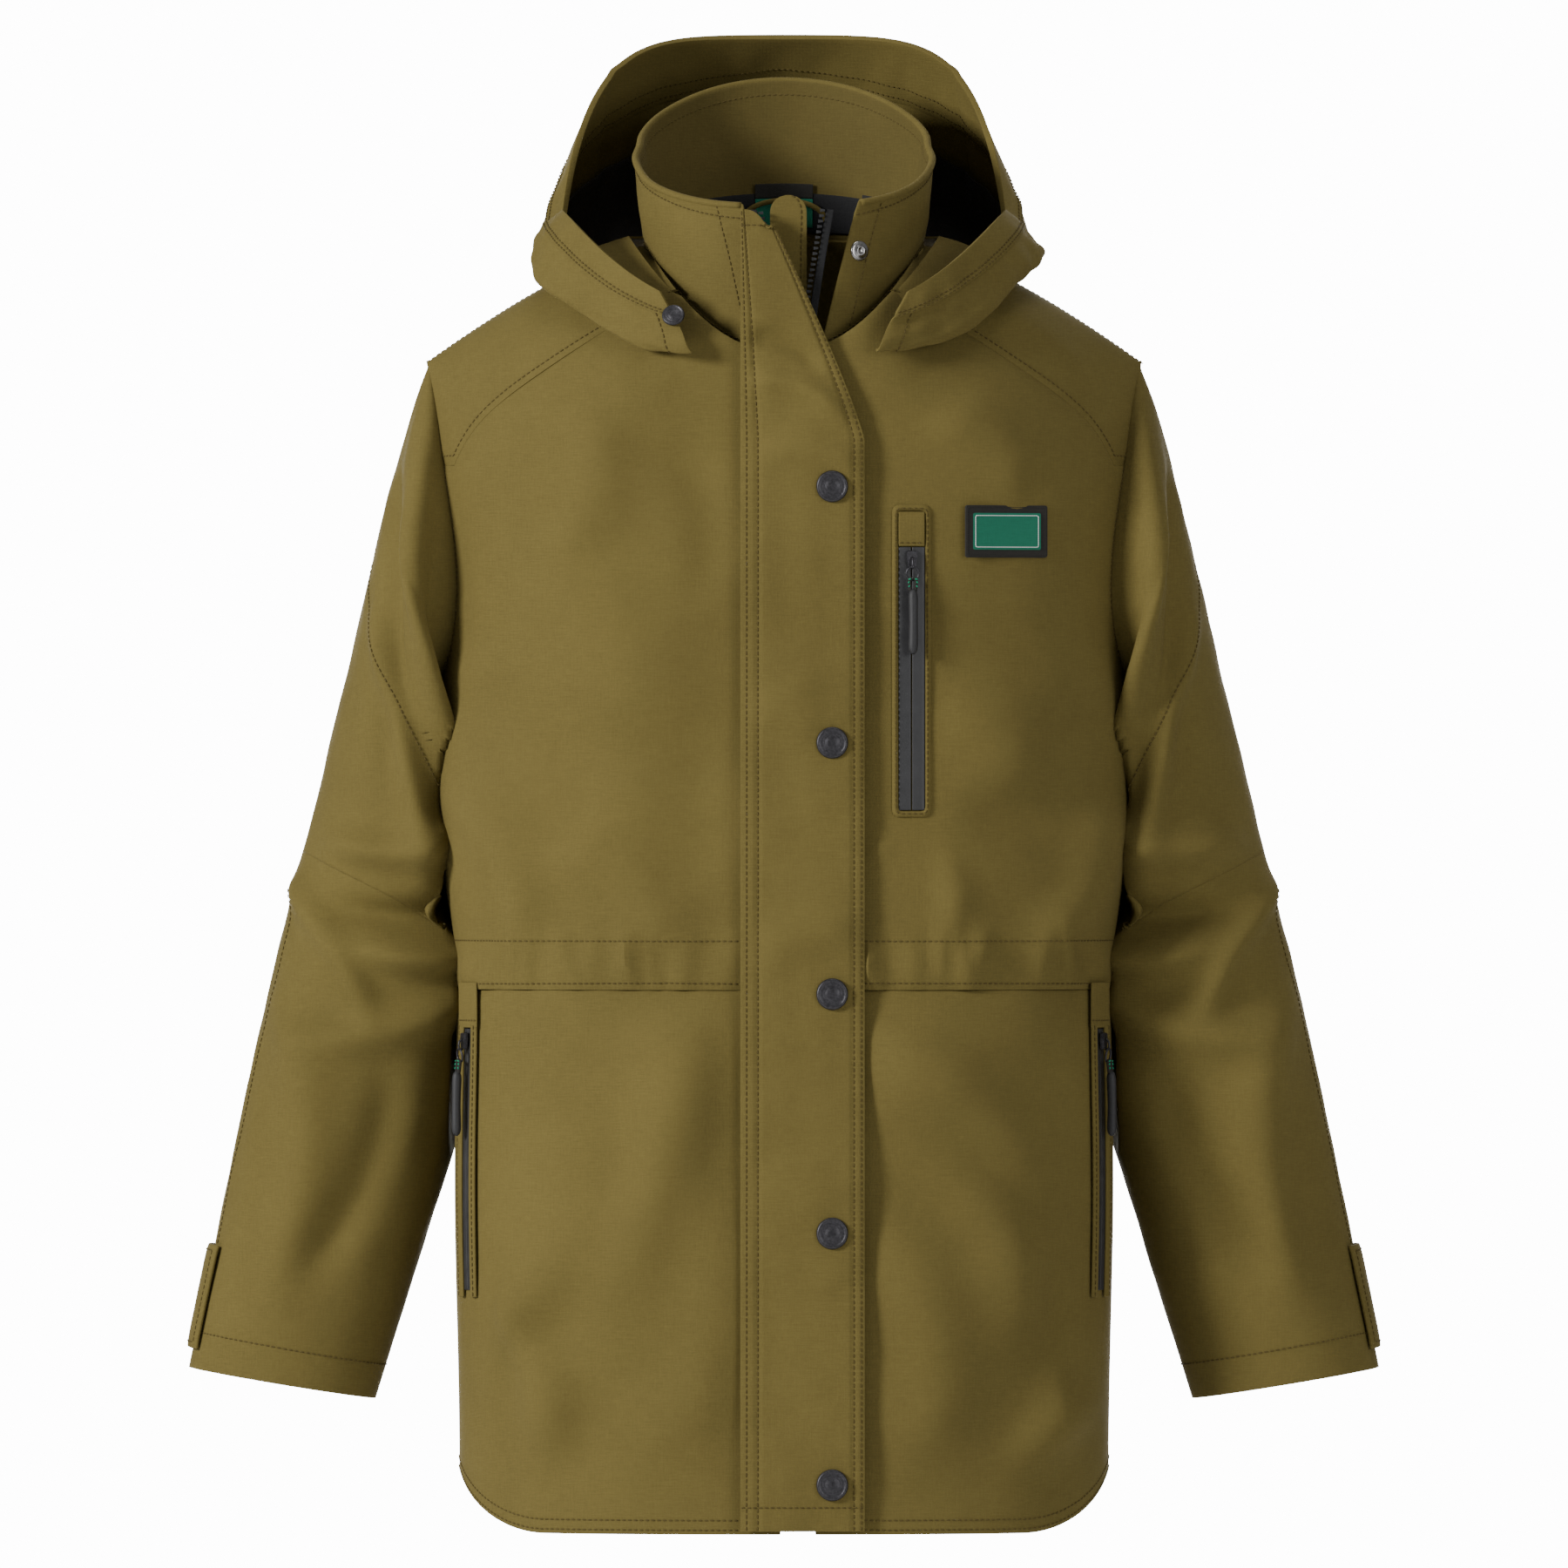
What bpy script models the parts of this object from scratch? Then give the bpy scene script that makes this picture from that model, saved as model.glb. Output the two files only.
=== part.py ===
"""Hooded waterproof outdoor jacket, built as an assembly of separate pieces.

Metres, +Z up, front towards -Y, the wearer's left at +X. Heights are measured from the hem.
The origin is at the hanger loop inside the back neck, which carries the jacket.
"""
import math

import bpy
import numpy as np
from mathutils import Vector

# ---- driving dimensions ----------------------------------------------------------------------
BACK_LENGTH = 0.745          # hem to the back neck seam
TALL = BACK_LENGTH / 0.745    # heights on the body keep their share of the back length
WAIST_Z = 0.311 * TALL              # waist seam above the hem
HALF_WIDTH = 0.187           # half the body's width at the waist
CHEST_EASE = 0.010           # how much wider the chest is than the waist, each side
SHOULDER_X = 0.2025          # shoulder tip from the centre
SHOULDER_DROP = 0.071        # shoulder tip below the side of the neck
FRONT_DEPTH = 0.128          # front from the side seam plane, at the hem
FRONT_LEAN = 0.0286          # how much the front leans back, per metre of height
BACK_DEPTH = 0.118           # back from the side seam plane
NECK_HALF = 0.080            # half the width of the neck at its seam
NECK_DROP = 0.069            # front neck seam below the back neck seam
COLLAR_BACK = 0.093          # collar height at the back
COLLAR_FRONT = 0.084         # collar height at the front
HOOD_HEIGHT = 0.112          # hood brim above the back neck seam
HOOD_HALF = 0.1445           # half the hood's greatest width
ARMHOLE_HEIGHT = 0.188
ARMHOLE_TURN = math.radians(20.7)   # how far the armhole reaches round the side
SLEEVE_DROP = 0.5735         # shoulder tip to the cuff's outer corner, in height
CUFF_WIDTH = 0.108
CUFF_DEPTH = 0.100
SLEEVE_REACH = 0.1365        # cuff's outer corner beyond the shoulder tip
ELBOW = 0.52                 # elbow seam, as a part of the sleeve's length
CLOTH = 0.0012               # outer cloth
SEAM_GAP = 0.0008            # between two panels that a seam joins
CLEAR = 0.0006               # between pieces that lie on each other
SLEEVE_CLEAR = 0.003         # between sleeve and body
LINING_INSET = 0.010         # lining inside the outer cloth
HEM_RADIUS = 0.030           # rounded corner of the hem at each side
FLAP_LEFT = -0.025           # storm flap's sewn edge, across the front
FLAP_WIDTH = 0.071
FLAP_STAND = 0.0042          # storm flap above the front panels
SNAP_RADIUS = 0.009
SNAP_HEIGHT = 0.0032
STUD_RADIUS = 0.005
STUD_HEIGHT = 0.0018
SNAP_X = 0.0275
SNAP_Z = tuple(z * TALL for z in (0.0285, 0.172, 0.3085, 0.452, 0.5985))
ZIP_X = 0.008                # middle of the front zip
ZIP_HALF = 0.010             # edge of each front panel from the zip's middle
TAPE_WIDTH = 0.014
TEETH_WIDTH = 0.0028
TEETH_THICK = 0.0024
ZIP_GAP = 0.0007             # half the gap between the two rows of teeth
ZIP_BEHIND = 0.0026          # zip tapes behind the front panels
ZIP_TOP = BACK_LENGTH - 0.090              # the front slider's place
CHEST_ZIP_X = 0.073
CHEST_ZIP_BOTTOM = 0.4135 * TALL
CHEST_ZIP_LENGTH = 0.1505 * TALL
POCKET_ZIP_TOP = 0.288 * TALL
POCKET_ZIP_LENGTH = 0.150 * TALL
POCKET_TURN = math.radians(70.0)    # hand pocket zip's place round the side
STRIP_WIDTH = 0.015
PATCH_SIZE = (0.051, 0.030)
PATCH_AT = (0.127, 0.573 * TALL)
FLAP_TOP = BACK_LENGTH + 0.012
TAB_SPAN = (0.905, 0.985)    # cuff tab, as shares of the sleeve's length
TAB_WRAP = (-38.0, 24.0)     # and its reach round the sleeve, in degrees
TAB_THICK = 0.0018
ROUND = 0.77                 # how square the body's cross-section is: 1 is an ellipse
RIDGE_GAP = 0.00014         # below the shoulder line, which parts front and back by about 2 mm
PHI_SIDE = math.pi / 2 - 0.001

ARMHOLE_TOP = BACK_LENGTH - 0.006 - SHOULDER_DROP
ARMHOLE_MID = ARMHOLE_TOP - ARMHOLE_HEIGHT / 2
UNDERARM = ARMHOLE_TOP - ARMHOLE_HEIGHT
NECK_Y = -0.0125
LOOP_AT = (0.0, 0.0645, BACK_LENGTH + 0.0206)

HOOD_DROOP_SIDE = 0.060     # how far the hood's sides sag
HOOD_DROOP_FRONT = 0.055    # how far its front ends sag
HOOD_LINING_INSET = 0.0050
LOOP_RADIUS = 0.0014

COLLECTION = "outdoor_jacket"
COLOURS = {
    "olive_cloth": ((0.165, 0.118, 0.030), 0.85, 0.0),
    "black_lining": ((0.018, 0.017, 0.018), 0.45, 0.0),
    "black_tape": ((0.016, 0.016, 0.017), 0.75, 0.0),
    "black_plastic": ((0.020, 0.020, 0.021), 0.4, 0.0),
    "gunmetal": ((0.060, 0.058, 0.062), 0.38, 0.9),
    "silver_metal": ((0.45, 0.44, 0.43), 0.3, 1.0),
    "rubber": ((0.022, 0.022, 0.023), 0.6, 0.0),
    "badge_green": ((0.012, 0.150, 0.085), 0.7, 0.0),
}


# ---- scene and materials ---------------------------------------------------------------------
def clear_scene():
    for old in list(bpy.data.objects):
        bpy.data.objects.remove(old, do_unlink=True)


def material_for(name, finish):
    colour, roughness, metallic = COLOURS[finish]
    material = bpy.data.materials.new(name + "_" + finish)
    material.use_nodes = True
    shader = material.node_tree.nodes["Principled BSDF"]
    shader.inputs["Base Color"].default_value = (*colour, 1.0)
    shader.inputs["Roughness"].default_value = roughness
    shader.inputs["Metallic"].default_value = metallic
    return material


def add_object(name, data, finish):
    piece = bpy.data.objects.new(name, data)
    bpy.data.collections[COLLECTION].objects.link(piece)
    data.materials.append(material_for(name, finish))
    piece.parent = bpy.data.objects["jacket_frame"]
    return piece


def thicken(piece, thickness):
    solid = piece.modifiers.new("thickness", "SOLIDIFY")
    solid.thickness = thickness
    solid.offset = -1.0
    solid.use_even_offset = False
    return solid


def sheet(name, points, finish, thickness=CLOTH, closed=False, drop=None):
    """An open surface from a grid of points [row, column, xyz], given a thickness inwards."""
    rows, columns = points.shape[:2]
    faces = []
    last = columns if closed else columns - 1
    for row in range(rows - 1):
        for column in range(last):
            if drop and drop(row, column):
                continue
            right = (column + 1) % columns
            faces.append((row * columns + column, row * columns + right,
                          (row + 1) * columns + right, (row + 1) * columns + column))
    mesh = bpy.data.meshes.new(name)
    mesh.from_pydata(points.reshape(-1, 3).tolist(), [], faces)
    mesh.update()
    mesh.shade_smooth()
    piece = add_object(name, mesh, finish)
    thicken(piece, thickness)
    return piece


def outward(points, centre):
    """The grid, with its columns turned round if its faces would point at the centre."""
    across = points[:-1, 1:] - points[:-1, :-1]
    along = points[1:, :-1] - points[:-1, :-1]
    normals = np.cross(across, along)
    away = points[:-1, :-1] - np.asarray(centre)
    if np.sum(normals * away) < 0:
        return points[:, ::-1]
    return points


def mirror_x(points):
    return points * np.array([-1.0, 1.0, 1.0])


def box(name, centre, size, finish, rotation=(0.0, 0.0, 0.0), bevel=0.0):
    bpy.ops.mesh.primitive_cube_add(size=1.0)
    cube = bpy.context.object
    mesh = cube.data
    bpy.data.objects.remove(cube, do_unlink=True)
    mesh.name = name
    mesh.vertices.foreach_set("co", (np.array([v.co for v in mesh.vertices])
                                     * np.array(size)).ravel())
    piece = add_object(name, mesh, finish)
    piece.location = centre
    piece.rotation_euler = rotation
    if bevel:
        rounding = piece.modifiers.new("edges", "BEVEL")
        rounding.width = bevel
        rounding.segments = 1
    return piece


def turned(name, profile, finish, centre, rotation, steps=14):
    """A profile of (radius, height) points turned round its own Z axis."""
    mesh = bpy.data.meshes.new(name)
    points = [(radius, 0.0, height) for radius, height in profile]
    mesh.from_pydata(points, [(i, i + 1) for i in range(len(points) - 1)], [])
    piece = add_object(name, mesh, finish)
    piece.location = centre
    piece.rotation_euler = rotation
    screw = piece.modifiers.new("turn", "SCREW")
    screw.steps = steps
    screw.render_steps = steps
    screw.use_merge_vertices = True
    screw.merge_threshold = 0.00005
    screw.use_smooth_shade = True
    return piece


def tube(name, points, radius, finish, resolution=1):
    curve = bpy.data.curves.new(name, "CURVE")
    curve.dimensions = "3D"
    curve.bevel_depth = radius
    curve.bevel_resolution = resolution
    curve.use_fill_caps = True
    spline = curve.splines.new("POLY")
    spline.points.add(len(points) - 1)
    for place, point in zip(spline.points, points):
        place.co = (*point, 1.0)
    return add_object(name, curve, finish)


# ---- the body's surface ----------------------------------------------------------------------
def half_width(z):
    heights = (0.0, WAIST_Z, 0.44 * TALL, 0.55 * TALL, 0.62 * TALL, TALL)
    widths = (HALF_WIDTH, HALF_WIDTH, HALF_WIDTH + CHEST_EASE, HALF_WIDTH + 0.006,
              SHOULDER_X, SHOULDER_X)
    return np.interp(z, heights, widths)


def depth_at(z, front):
    if front:
        return FRONT_DEPTH - FRONT_LEAN * z
    return np.interp(z / TALL, (0.0, WAIST_Z / TALL, 0.55, 0.70, 0.80), (0.122, 0.110, BACK_DEPTH, 0.100, 0.088))


def shoulder_line(x):
    out = np.clip((np.abs(x) - NECK_HALF) / (SHOULDER_X - NECK_HALF), 0, None)
    inside = np.clip(1 - (np.abs(x) / NECK_HALF) ** 2, 0, None) ** 1.3
    return BACK_LENGTH - 0.006 - SHOULDER_DROP * out ** 1.35 + 0.036 * inside


def shoulder_round(x):
    return 0.06 + 0.10 * np.clip(np.abs(x) / SHOULDER_X, 0, 1)


def front_neck(x):
    share = np.clip(np.abs(x) / NECK_HALF, 0, 1)
    return BACK_LENGTH - NECK_DROP + (NECK_DROP - 0.006) * share ** 2.2


def back_neck(x):
    return BACK_LENGTH - 0.006 * np.clip(np.abs(x) / NECK_HALF, 0, 1) ** 2


def body_point(phi, z, front, inset=0.0):
    """x from the turn round the body, y from the rounded cross-section and the shoulder's fall."""
    x = (half_width(z) - inset) * np.abs(np.sin(phi)) ** ROUND * np.sign(phi)
    under = np.clip((shoulder_line(x) - inset - z) / shoulder_round(x), 0, 1)
    fall = np.sqrt(np.clip(1 - (1 - under) ** 2, 0, 1))
    y = (depth_at(z, front) - inset) * np.abs(np.cos(phi)) ** ROUND * fall
    return np.stack([x, -y if front else y, z], -1)


def phi_of(x, z=WAIST_Z):
    share = np.clip(np.abs(x) / half_width(z), 0, 1)
    return np.arcsin(share ** (1 / ROUND)) * np.sign(x)


def side_phi(z):
    inside = np.clip(1 - ((z - ARMHOLE_MID) / (ARMHOLE_HEIGHT / 2)) ** 2, 0, 1)
    return PHI_SIDE - ARMHOLE_TURN * np.sqrt(inside)


def body_panel(inner, outer, low, high, front, rows, columns, inset=0.0):
    """A grid on the body. inner and outer give phi for z, low and high give z for x."""
    u = np.linspace(0, 1, columns)[None, :] * np.ones((rows, 1))
    u = 1 - (1 - u) ** 1.25
    v = np.linspace(0, 1, rows)[:, None] * np.ones((1, columns))
    z = 0.35 + 0.3 * v
    for _ in range(12):
        phi = inner(z) + (outer(z) - inner(z)) * u
        x = (half_width(z) - inset) * np.abs(np.sin(phi)) ** ROUND * np.sign(phi)
        bottom = low(x)
        top = np.minimum(high(x), shoulder_line(x) - inset - RIDGE_GAP)
        bend = shoulder_round(x)
        start = np.maximum(shoulder_line(x) - inset - bend, bottom)
        share = np.clip((shoulder_line(x) - inset - top) / bend, 0, 1)
        turn = np.where(top > start, math.pi / 2 - np.arccos(1 - share), 0.0)
        first = np.where(bottom > shoulder_line(x) - inset - bend,
                         np.arcsin(np.clip((bottom - start + (bottom - (shoulder_line(x) - inset
                                   - bend))) / bend, 0, 1)), 0.0)
        straight = np.maximum(np.minimum(start, top) - bottom, 0)
        length = straight + bend * np.maximum(turn - first, 0)
        run = v * length
        rise = shoulder_line(x) - inset - bend + bend * np.sin(first + (run - straight) / bend)
        z = np.where(run <= straight, bottom + run, np.minimum(rise, top))
    phi = inner(z) + (outer(z) - inner(z)) * u
    return outward(body_point(phi, z, front, inset), (0, 0, 0.4))


def raglan(x):
    """The yoke seam, from the neck seam down to the front of the armhole."""
    start = 0.062
    share = np.clip((np.abs(x) - start) / (0.190 - start), 0, 1)
    top = front_neck(start)
    return top - (top - (ARMHOLE_MID + 0.034)) * (0.82 * share ** 1.1 + 0.18 * share ** 12)


def hem_line(x):
    """Level, with a rounded corner towards each side seam."""
    out = np.clip((np.abs(x) - (HALF_WIDTH - 0.048)) / 0.048, 0, 1)
    return HEM_RADIUS * (1 - np.sqrt(np.clip(1 - out ** 2, 0, 1)))


def back_top(x):
    """The back neck seam, and beside it the shoulder line, a little lower at the shoulder tips."""
    tip = np.clip((np.abs(x) - 0.94 * SHOULDER_X) / (0.06 * SHOULDER_X), 0, 1)
    return np.where(np.abs(x) < NECK_HALF, back_neck(x), shoulder_line(x) - SEAM_GAP * tip)


def constant(value):
    return lambda place: np.full_like(np.asarray(place, float), value)


def make_body():
    gap = SEAM_GAP / 2
    for name, side, edge in (("right", -1, ZIP_HALF - ZIP_X), ("left", 1, ZIP_X + ZIP_HALF)):
        inner = constant(phi_of(edge))
        upper = body_panel(inner, side_phi, constant(WAIST_Z + gap),
                           lambda x: np.minimum(front_neck(x), raglan(x)) - gap, True, 13, 13)
        skirt = body_panel(inner, constant(PHI_SIDE), hem_line, constant(WAIST_Z - gap),
                           True, 7, 13)
        yoke = body_panel(lambda z: phi_of(np.full_like(z, 0.070), 0.66), side_phi,
                          lambda x: raglan(x) + 3 * gap, front_neck, True, 8, 10)
        flip = np.array([side, 1.0, 1.0])
        for label, grid in (("front_panel_", upper), ("front_skirt_", skirt),
                            ("shoulder_yoke_", yoke)):
            piece_grid = outward(grid * flip, (0, 0, 0.4))
            sheet(label + name, piece_grid, "olive_cloth")
    back_upper = [body_panel(constant(0.0), side_phi, constant(WAIST_Z + gap),
                             back_top,
                             False, 13, 11)]
    back_skirt = [body_panel(constant(0.0), constant(PHI_SIDE), hem_line,
                             constant(WAIST_Z - gap), False, 6, 11)]
    for name, half in (("back_panel", back_upper[0]), ("back_skirt", back_skirt[0])):
        if half[0, 0, 0] > half[0, -1, 0]:
            half = half[:, ::-1]
        whole = np.concatenate([mirror_x(half)[:, :0:-1], half], axis=1)
        sheet(name, outward(whole, (0, 0, 0.4)), "olive_cloth")


def round_strip(name, low, high, inset, rows, columns, finish, thickness):
    """From the right of the zip, round the back, to the left of the zip."""
    right = phi_of(0.030)
    left = 2 * math.pi - phi_of(0.042)
    turn = np.linspace(right, left, columns)[None, :] * np.ones((rows, 1))
    z = np.linspace(low, high, rows)[:, None] * np.ones((1, columns))
    sign = np.where(turn < math.pi, -1.0, 1.0)
    around = np.where(turn < math.pi, turn, 2 * math.pi - turn)
    is_front = around < math.pi / 2
    phi = np.where(is_front, around, math.pi - around)
    phi = np.maximum(phi, 1e-4) * sign
    grid = np.where(is_front[..., None], body_point(phi, z, True, inset),
                    body_point(phi, z, False, inset))
    return sheet(name, outward(grid, (0, 0, (low + high) / 2)), finish, thickness)


# ---- sleeves ---------------------------------------------------------------------------------
def smooth_keys(values, places, wanted):
    """Catmull-Rom curve through values at places."""
    values = np.asarray(values, float)
    slopes = np.gradient(values, places)
    index = np.clip(np.searchsorted(places, wanted) - 1, 0, len(places) - 2)
    width = places[index + 1] - places[index]
    t = (wanted - places[index]) / width
    return ((2 * t ** 3 - 3 * t ** 2 + 1) * values[index] + (t ** 3 - 2 * t ** 2 + t) * width
            * slopes[index] + (3 * t ** 2 - 2 * t ** 3) * values[index + 1]
            + (t ** 3 - t ** 2) * width * slopes[index + 1])


def sleeve_point(along, turn, grow=0.0):
    """Left sleeve. along is 0 at the armhole and 1 at the cuff; turn 0 is its outer edge."""
    cuff_x = SHOULDER_X + SLEEVE_REACH
    cuff_z = ARMHOLE_TOP - SLEEVE_DROP
    low = ARMHOLE_TOP - 0.668     # the sleeve hangs from the shoulder
    body = HALF_WIDTH
    place = np.array([0.0, 0.10, 0.20, 0.32, 0.45, 0.58, 0.72, 0.86, 1.0])
    inner_x = [body + 0.006, body + 0.0115, body + 0.005, body - 0.010, body - 0.018,
               body - 0.018, body - 0.006, body + 0.019, cuff_x - CUFF_WIDTH]
    outer_x = [SHOULDER_X, 0.216, 0.2285, 0.243, 0.262, 0.2795, 0.2985, 0.317, cuff_x]
    inner_z = [UNDERARM, UNDERARM - 0.004, UNDERARM - 0.028, 0.410 + low, 0.360 + low, 0.310 + low,
               0.250 + low, 0.170 + low,
               cuff_z - 0.018]
    outer_z = [ARMHOLE_TOP] + [z + low for z in (0.625, 0.575, 0.510, 0.428, 0.358, 0.282, 0.195)]
    outer_z.append(cuff_z)
    deep = [0.062, 0.067, 0.072, 0.074, 0.074, 0.072, 0.067, 0.060, CUFF_DEPTH / 2]
    middle_y = [0.0, 0.004, 0.014, 0.028, 0.036, 0.036, 0.030, 0.022, 0.015]
    ix, ox, iz, oz, half, my = (smooth_keys(values, place, along)
                                for values in (inner_x, outer_x, inner_z, outer_z, deep, middle_y))
    sine = np.sign(np.sin(turn)) * np.abs(np.sin(turn)) ** 0.9
    tall = np.hypot(ox - ix, oz - iz)
    stretch = 1 + 2 * grow / tall
    x = (ix + ox) / 2 + (ox - ix) / 2 * np.cos(turn) * stretch
    z = (iz + oz) / 2 + (oz - iz) / 2 * np.cos(turn) * stretch
    y = my - (half + grow) * sine
    hole_z = ARMHOLE_MID + ARMHOLE_HEIGHT / 2 * np.cos(turn)
    hole_phi = side_phi(hole_z)
    front = body_point(hole_phi, hole_z, True)
    back = body_point(hole_phi, hole_z, False)
    hole = np.where((np.sin(turn) > 0)[..., None], front, back)
    hole = hole + np.array([0.0025, 0.0, 0.0])
    mix = np.clip(along / 0.12, 0, 1)
    mix = (mix * mix * (3 - 2 * mix))[..., None]
    points = hole * (1 - mix) + np.stack([x, y, z], -1) * mix
    x, y, z = points[..., 0], points[..., 1], points[..., 2]
    reach = np.where(y < 0, depth_at(z, True), depth_at(z, False))
    share = np.clip(np.abs(y) / reach, 0, 1)
    side = half_width(z) * np.clip(1 - share ** (2 / ROUND), 0, 1) ** (ROUND / 2)
    keep = np.where(mix[..., 0] > 0.99, side + SLEEVE_CLEAR, side * 0 + 0.18)
    low_enough = (share < 1) & (z < ARMHOLE_TOP)
    points[..., 0] = np.where(low_enough, np.maximum(x, np.minimum(keep, x + 0.05)), x)
    return points


def sleeve_grid(start, stop, rows, columns, grow=0.0):
    along = np.linspace(start, stop, rows)[:, None] * np.ones((1, columns))
    turn = np.arange(columns)[None, :] * (2 * math.pi / columns) * np.ones((rows, 1))
    return sleeve_point(along, turn, grow)


def make_sleeves():
    for name, side in (("right", -1), ("left", 1)):
        flip = np.array([side, 1.0, 1.0])
        for label, start, stop, rows in (("upper_sleeve_", 0.0, ELBOW - 0.0012, 9),
                                         ("lower_sleeve_", ELBOW + 0.0012, 1.0, 8)):
            grid = sleeve_grid(start, stop, rows, 20) * flip
            if side > 0:
                grid = grid[:, ::-1]
            sheet(label + name, grid[::-1], "olive_cloth", closed=True)
        along = np.linspace(*TAB_SPAN, 4)[:, None] * np.ones((1, 7))
        turn = np.radians(np.linspace(*TAB_WRAP, 7))[None, :] * np.ones((4, 1))
        grid = sleeve_point(along, turn, TAB_THICK + CLEAR + 0.0010) * flip
        middle = sleeve_point(np.array([0.95]), np.array([math.pi]))[0] * flip
        sheet("cuff_tab_" + name, outward(grid, middle), "olive_cloth", TAB_THICK)


# ---- collar and hood -------------------------------------------------------------------------
def collar_point(turn, rise, grow=0.0):
    """turn is 0 at the back and +-pi at the front; rise is 0 at the neck seam and 1 at the top."""
    half = (1 + np.cos(turn)) / 2
    x = (NECK_HALF + 0.001 + 0.006 * rise + grow) * np.sin(turn)
    y = NECK_Y + (0.0925 - 0.003 * rise + grow) * np.cos(turn)
    seam = np.where(np.cos(turn) > 0, back_neck(NECK_HALF * np.sin(turn)),
                    front_neck(NECK_HALF * np.sin(turn)))
    front_top = BACK_LENGTH - NECK_DROP + COLLAR_FRONT
    top = front_top + (BACK_LENGTH + COLLAR_BACK - front_top) * half ** 1.3
    return np.stack([x, y, seam + 0.002 + (top - seam - 0.002) * rise], -1)


def collar_ends(rise, gap):
    """The angles of the collar's two front edges, which lean apart towards the top."""
    radius = NECK_HALF + 0.001
    right = math.pi - np.arcsin((0.004 + gap + 0.018 * rise) / radius)
    left = math.pi - np.arcsin((0.022 + gap + 0.018 * rise) / radius)
    return right, left


def collar_grid(low, high, rows, columns, grow, gap=0.0):
    rise = np.linspace(low, high, rows)[:, None] * np.ones((1, columns))
    right, left = collar_ends(rise, gap)
    share = np.linspace(0, 1, columns)[None, :] * np.ones((rows, 1))
    turn = -right + (right + left) * share
    return outward(collar_point(turn, rise, grow), (0, NECK_Y, BACK_LENGTH))


def hood_curve(turn, share):
    """From the seam round the neck (share 0) over the bulge to the brim (share 1)."""
    back = (1 + np.cos(turn)) / 2
    wide = np.abs(np.sin(turn))
    front = np.clip(-np.cos(turn), 0, 1)
    base_z = np.where(np.cos(turn) > 0, back_neck(NECK_HALF * np.sin(turn)),
                      front_neck(NECK_HALF * np.sin(turn))) + 0.006
    base = np.stack([0.0985 * np.sin(turn), NECK_Y + 0.112 * np.cos(turn), base_z], -1)
    belly_x = (HOOD_HALF - 0.012 * front ** 2) * np.sin(turn)
    belly_y = NECK_Y + np.where(np.cos(turn) > 0, 0.190, 0.118) * np.cos(turn)
    belly_z = (base_z + 0.004 + 0.028 * back - HOOD_DROOP_SIDE * wide * back
               - HOOD_DROOP_FRONT * wide * front)
    belly = np.stack([belly_x, belly_y, belly_z], -1)
    rim_x = (0.132 - 0.004 * front) * np.sign(np.sin(turn)) * wide ** 0.85
    rim_y = NECK_Y + np.where(np.cos(turn) > 0, 0.128, 0.114) * np.cos(turn)
    lift = np.sin(math.pi / 2 * np.clip((back - 0.54) / 0.46, 0, 1)) ** 1.2
    rim_z = base_z + 0.014 + (HOOD_HEIGHT - 0.020) * lift
    rim = np.stack([rim_x, rim_y, rim_z], -1)
    s = share[..., None]
    middle = 2 * belly - (base + rim) / 2
    return (1 - s) ** 2 * base + 2 * s * (1 - s) * middle + s * s * rim


HOOD_END = math.radians(152)


def hood_grid(turn_from, turn_to, share_from, share_to, rows, columns):
    turn = np.linspace(turn_from, turn_to, columns)[None, :] * np.ones((rows, 1))
    share = np.linspace(share_from, share_to, rows)[:, None] * np.ones((1, columns))
    return hood_curve(turn, share), turn


def make_hood():
    crown = math.radians(48)
    gap = math.radians(0.35)
    pieces = (("hood_crown", -crown + gap, crown - gap, 9),
              ("hood_side_left", crown + gap, HOOD_END, 10),
              ("hood_side_right", -HOOD_END, -crown - gap, 10))
    for name, start, stop, columns in pieces:
        grid, _ = hood_grid(start, stop, 0.0, 0.86, 8, columns)
        sheet(name, hood_outward(grid), "olive_cloth", 0.0012)
    grid, _ = hood_grid(-HOOD_END, HOOD_END, 0.885, 1.0, 3, 28)
    sheet("hood_brim", hood_outward(grid), "olive_cloth", 0.0016)
    grid, _ = hood_grid(-HOOD_END * 0.50, HOOD_END * 0.50, 0.26, 0.78, 6, 20)
    grid = inset_grid(hood_outward(grid), HOOD_LINING_INSET)
    sheet("hood_lining", grid, "black_lining", 0.0008)


def grid_normals(points):
    du = np.gradient(points, axis=1)
    dv = np.gradient(points, axis=0)
    normals = np.cross(du, dv)
    return normals / np.maximum(np.linalg.norm(normals, axis=-1, keepdims=True), 1e-12)


def hood_outward(points):
    """Faces away from the neck: checked on the lowest row, which leaves the neck outwards."""
    normals = grid_normals(points)
    away = points - np.array([0, NECK_Y, BACK_LENGTH + 0.03])
    away[..., 2] = 0
    if np.sum(normals * away) < 0:
        return points[:, ::-1]
    return points


def inset_grid(points, depth):
    return points - depth * grid_normals(points)


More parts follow.
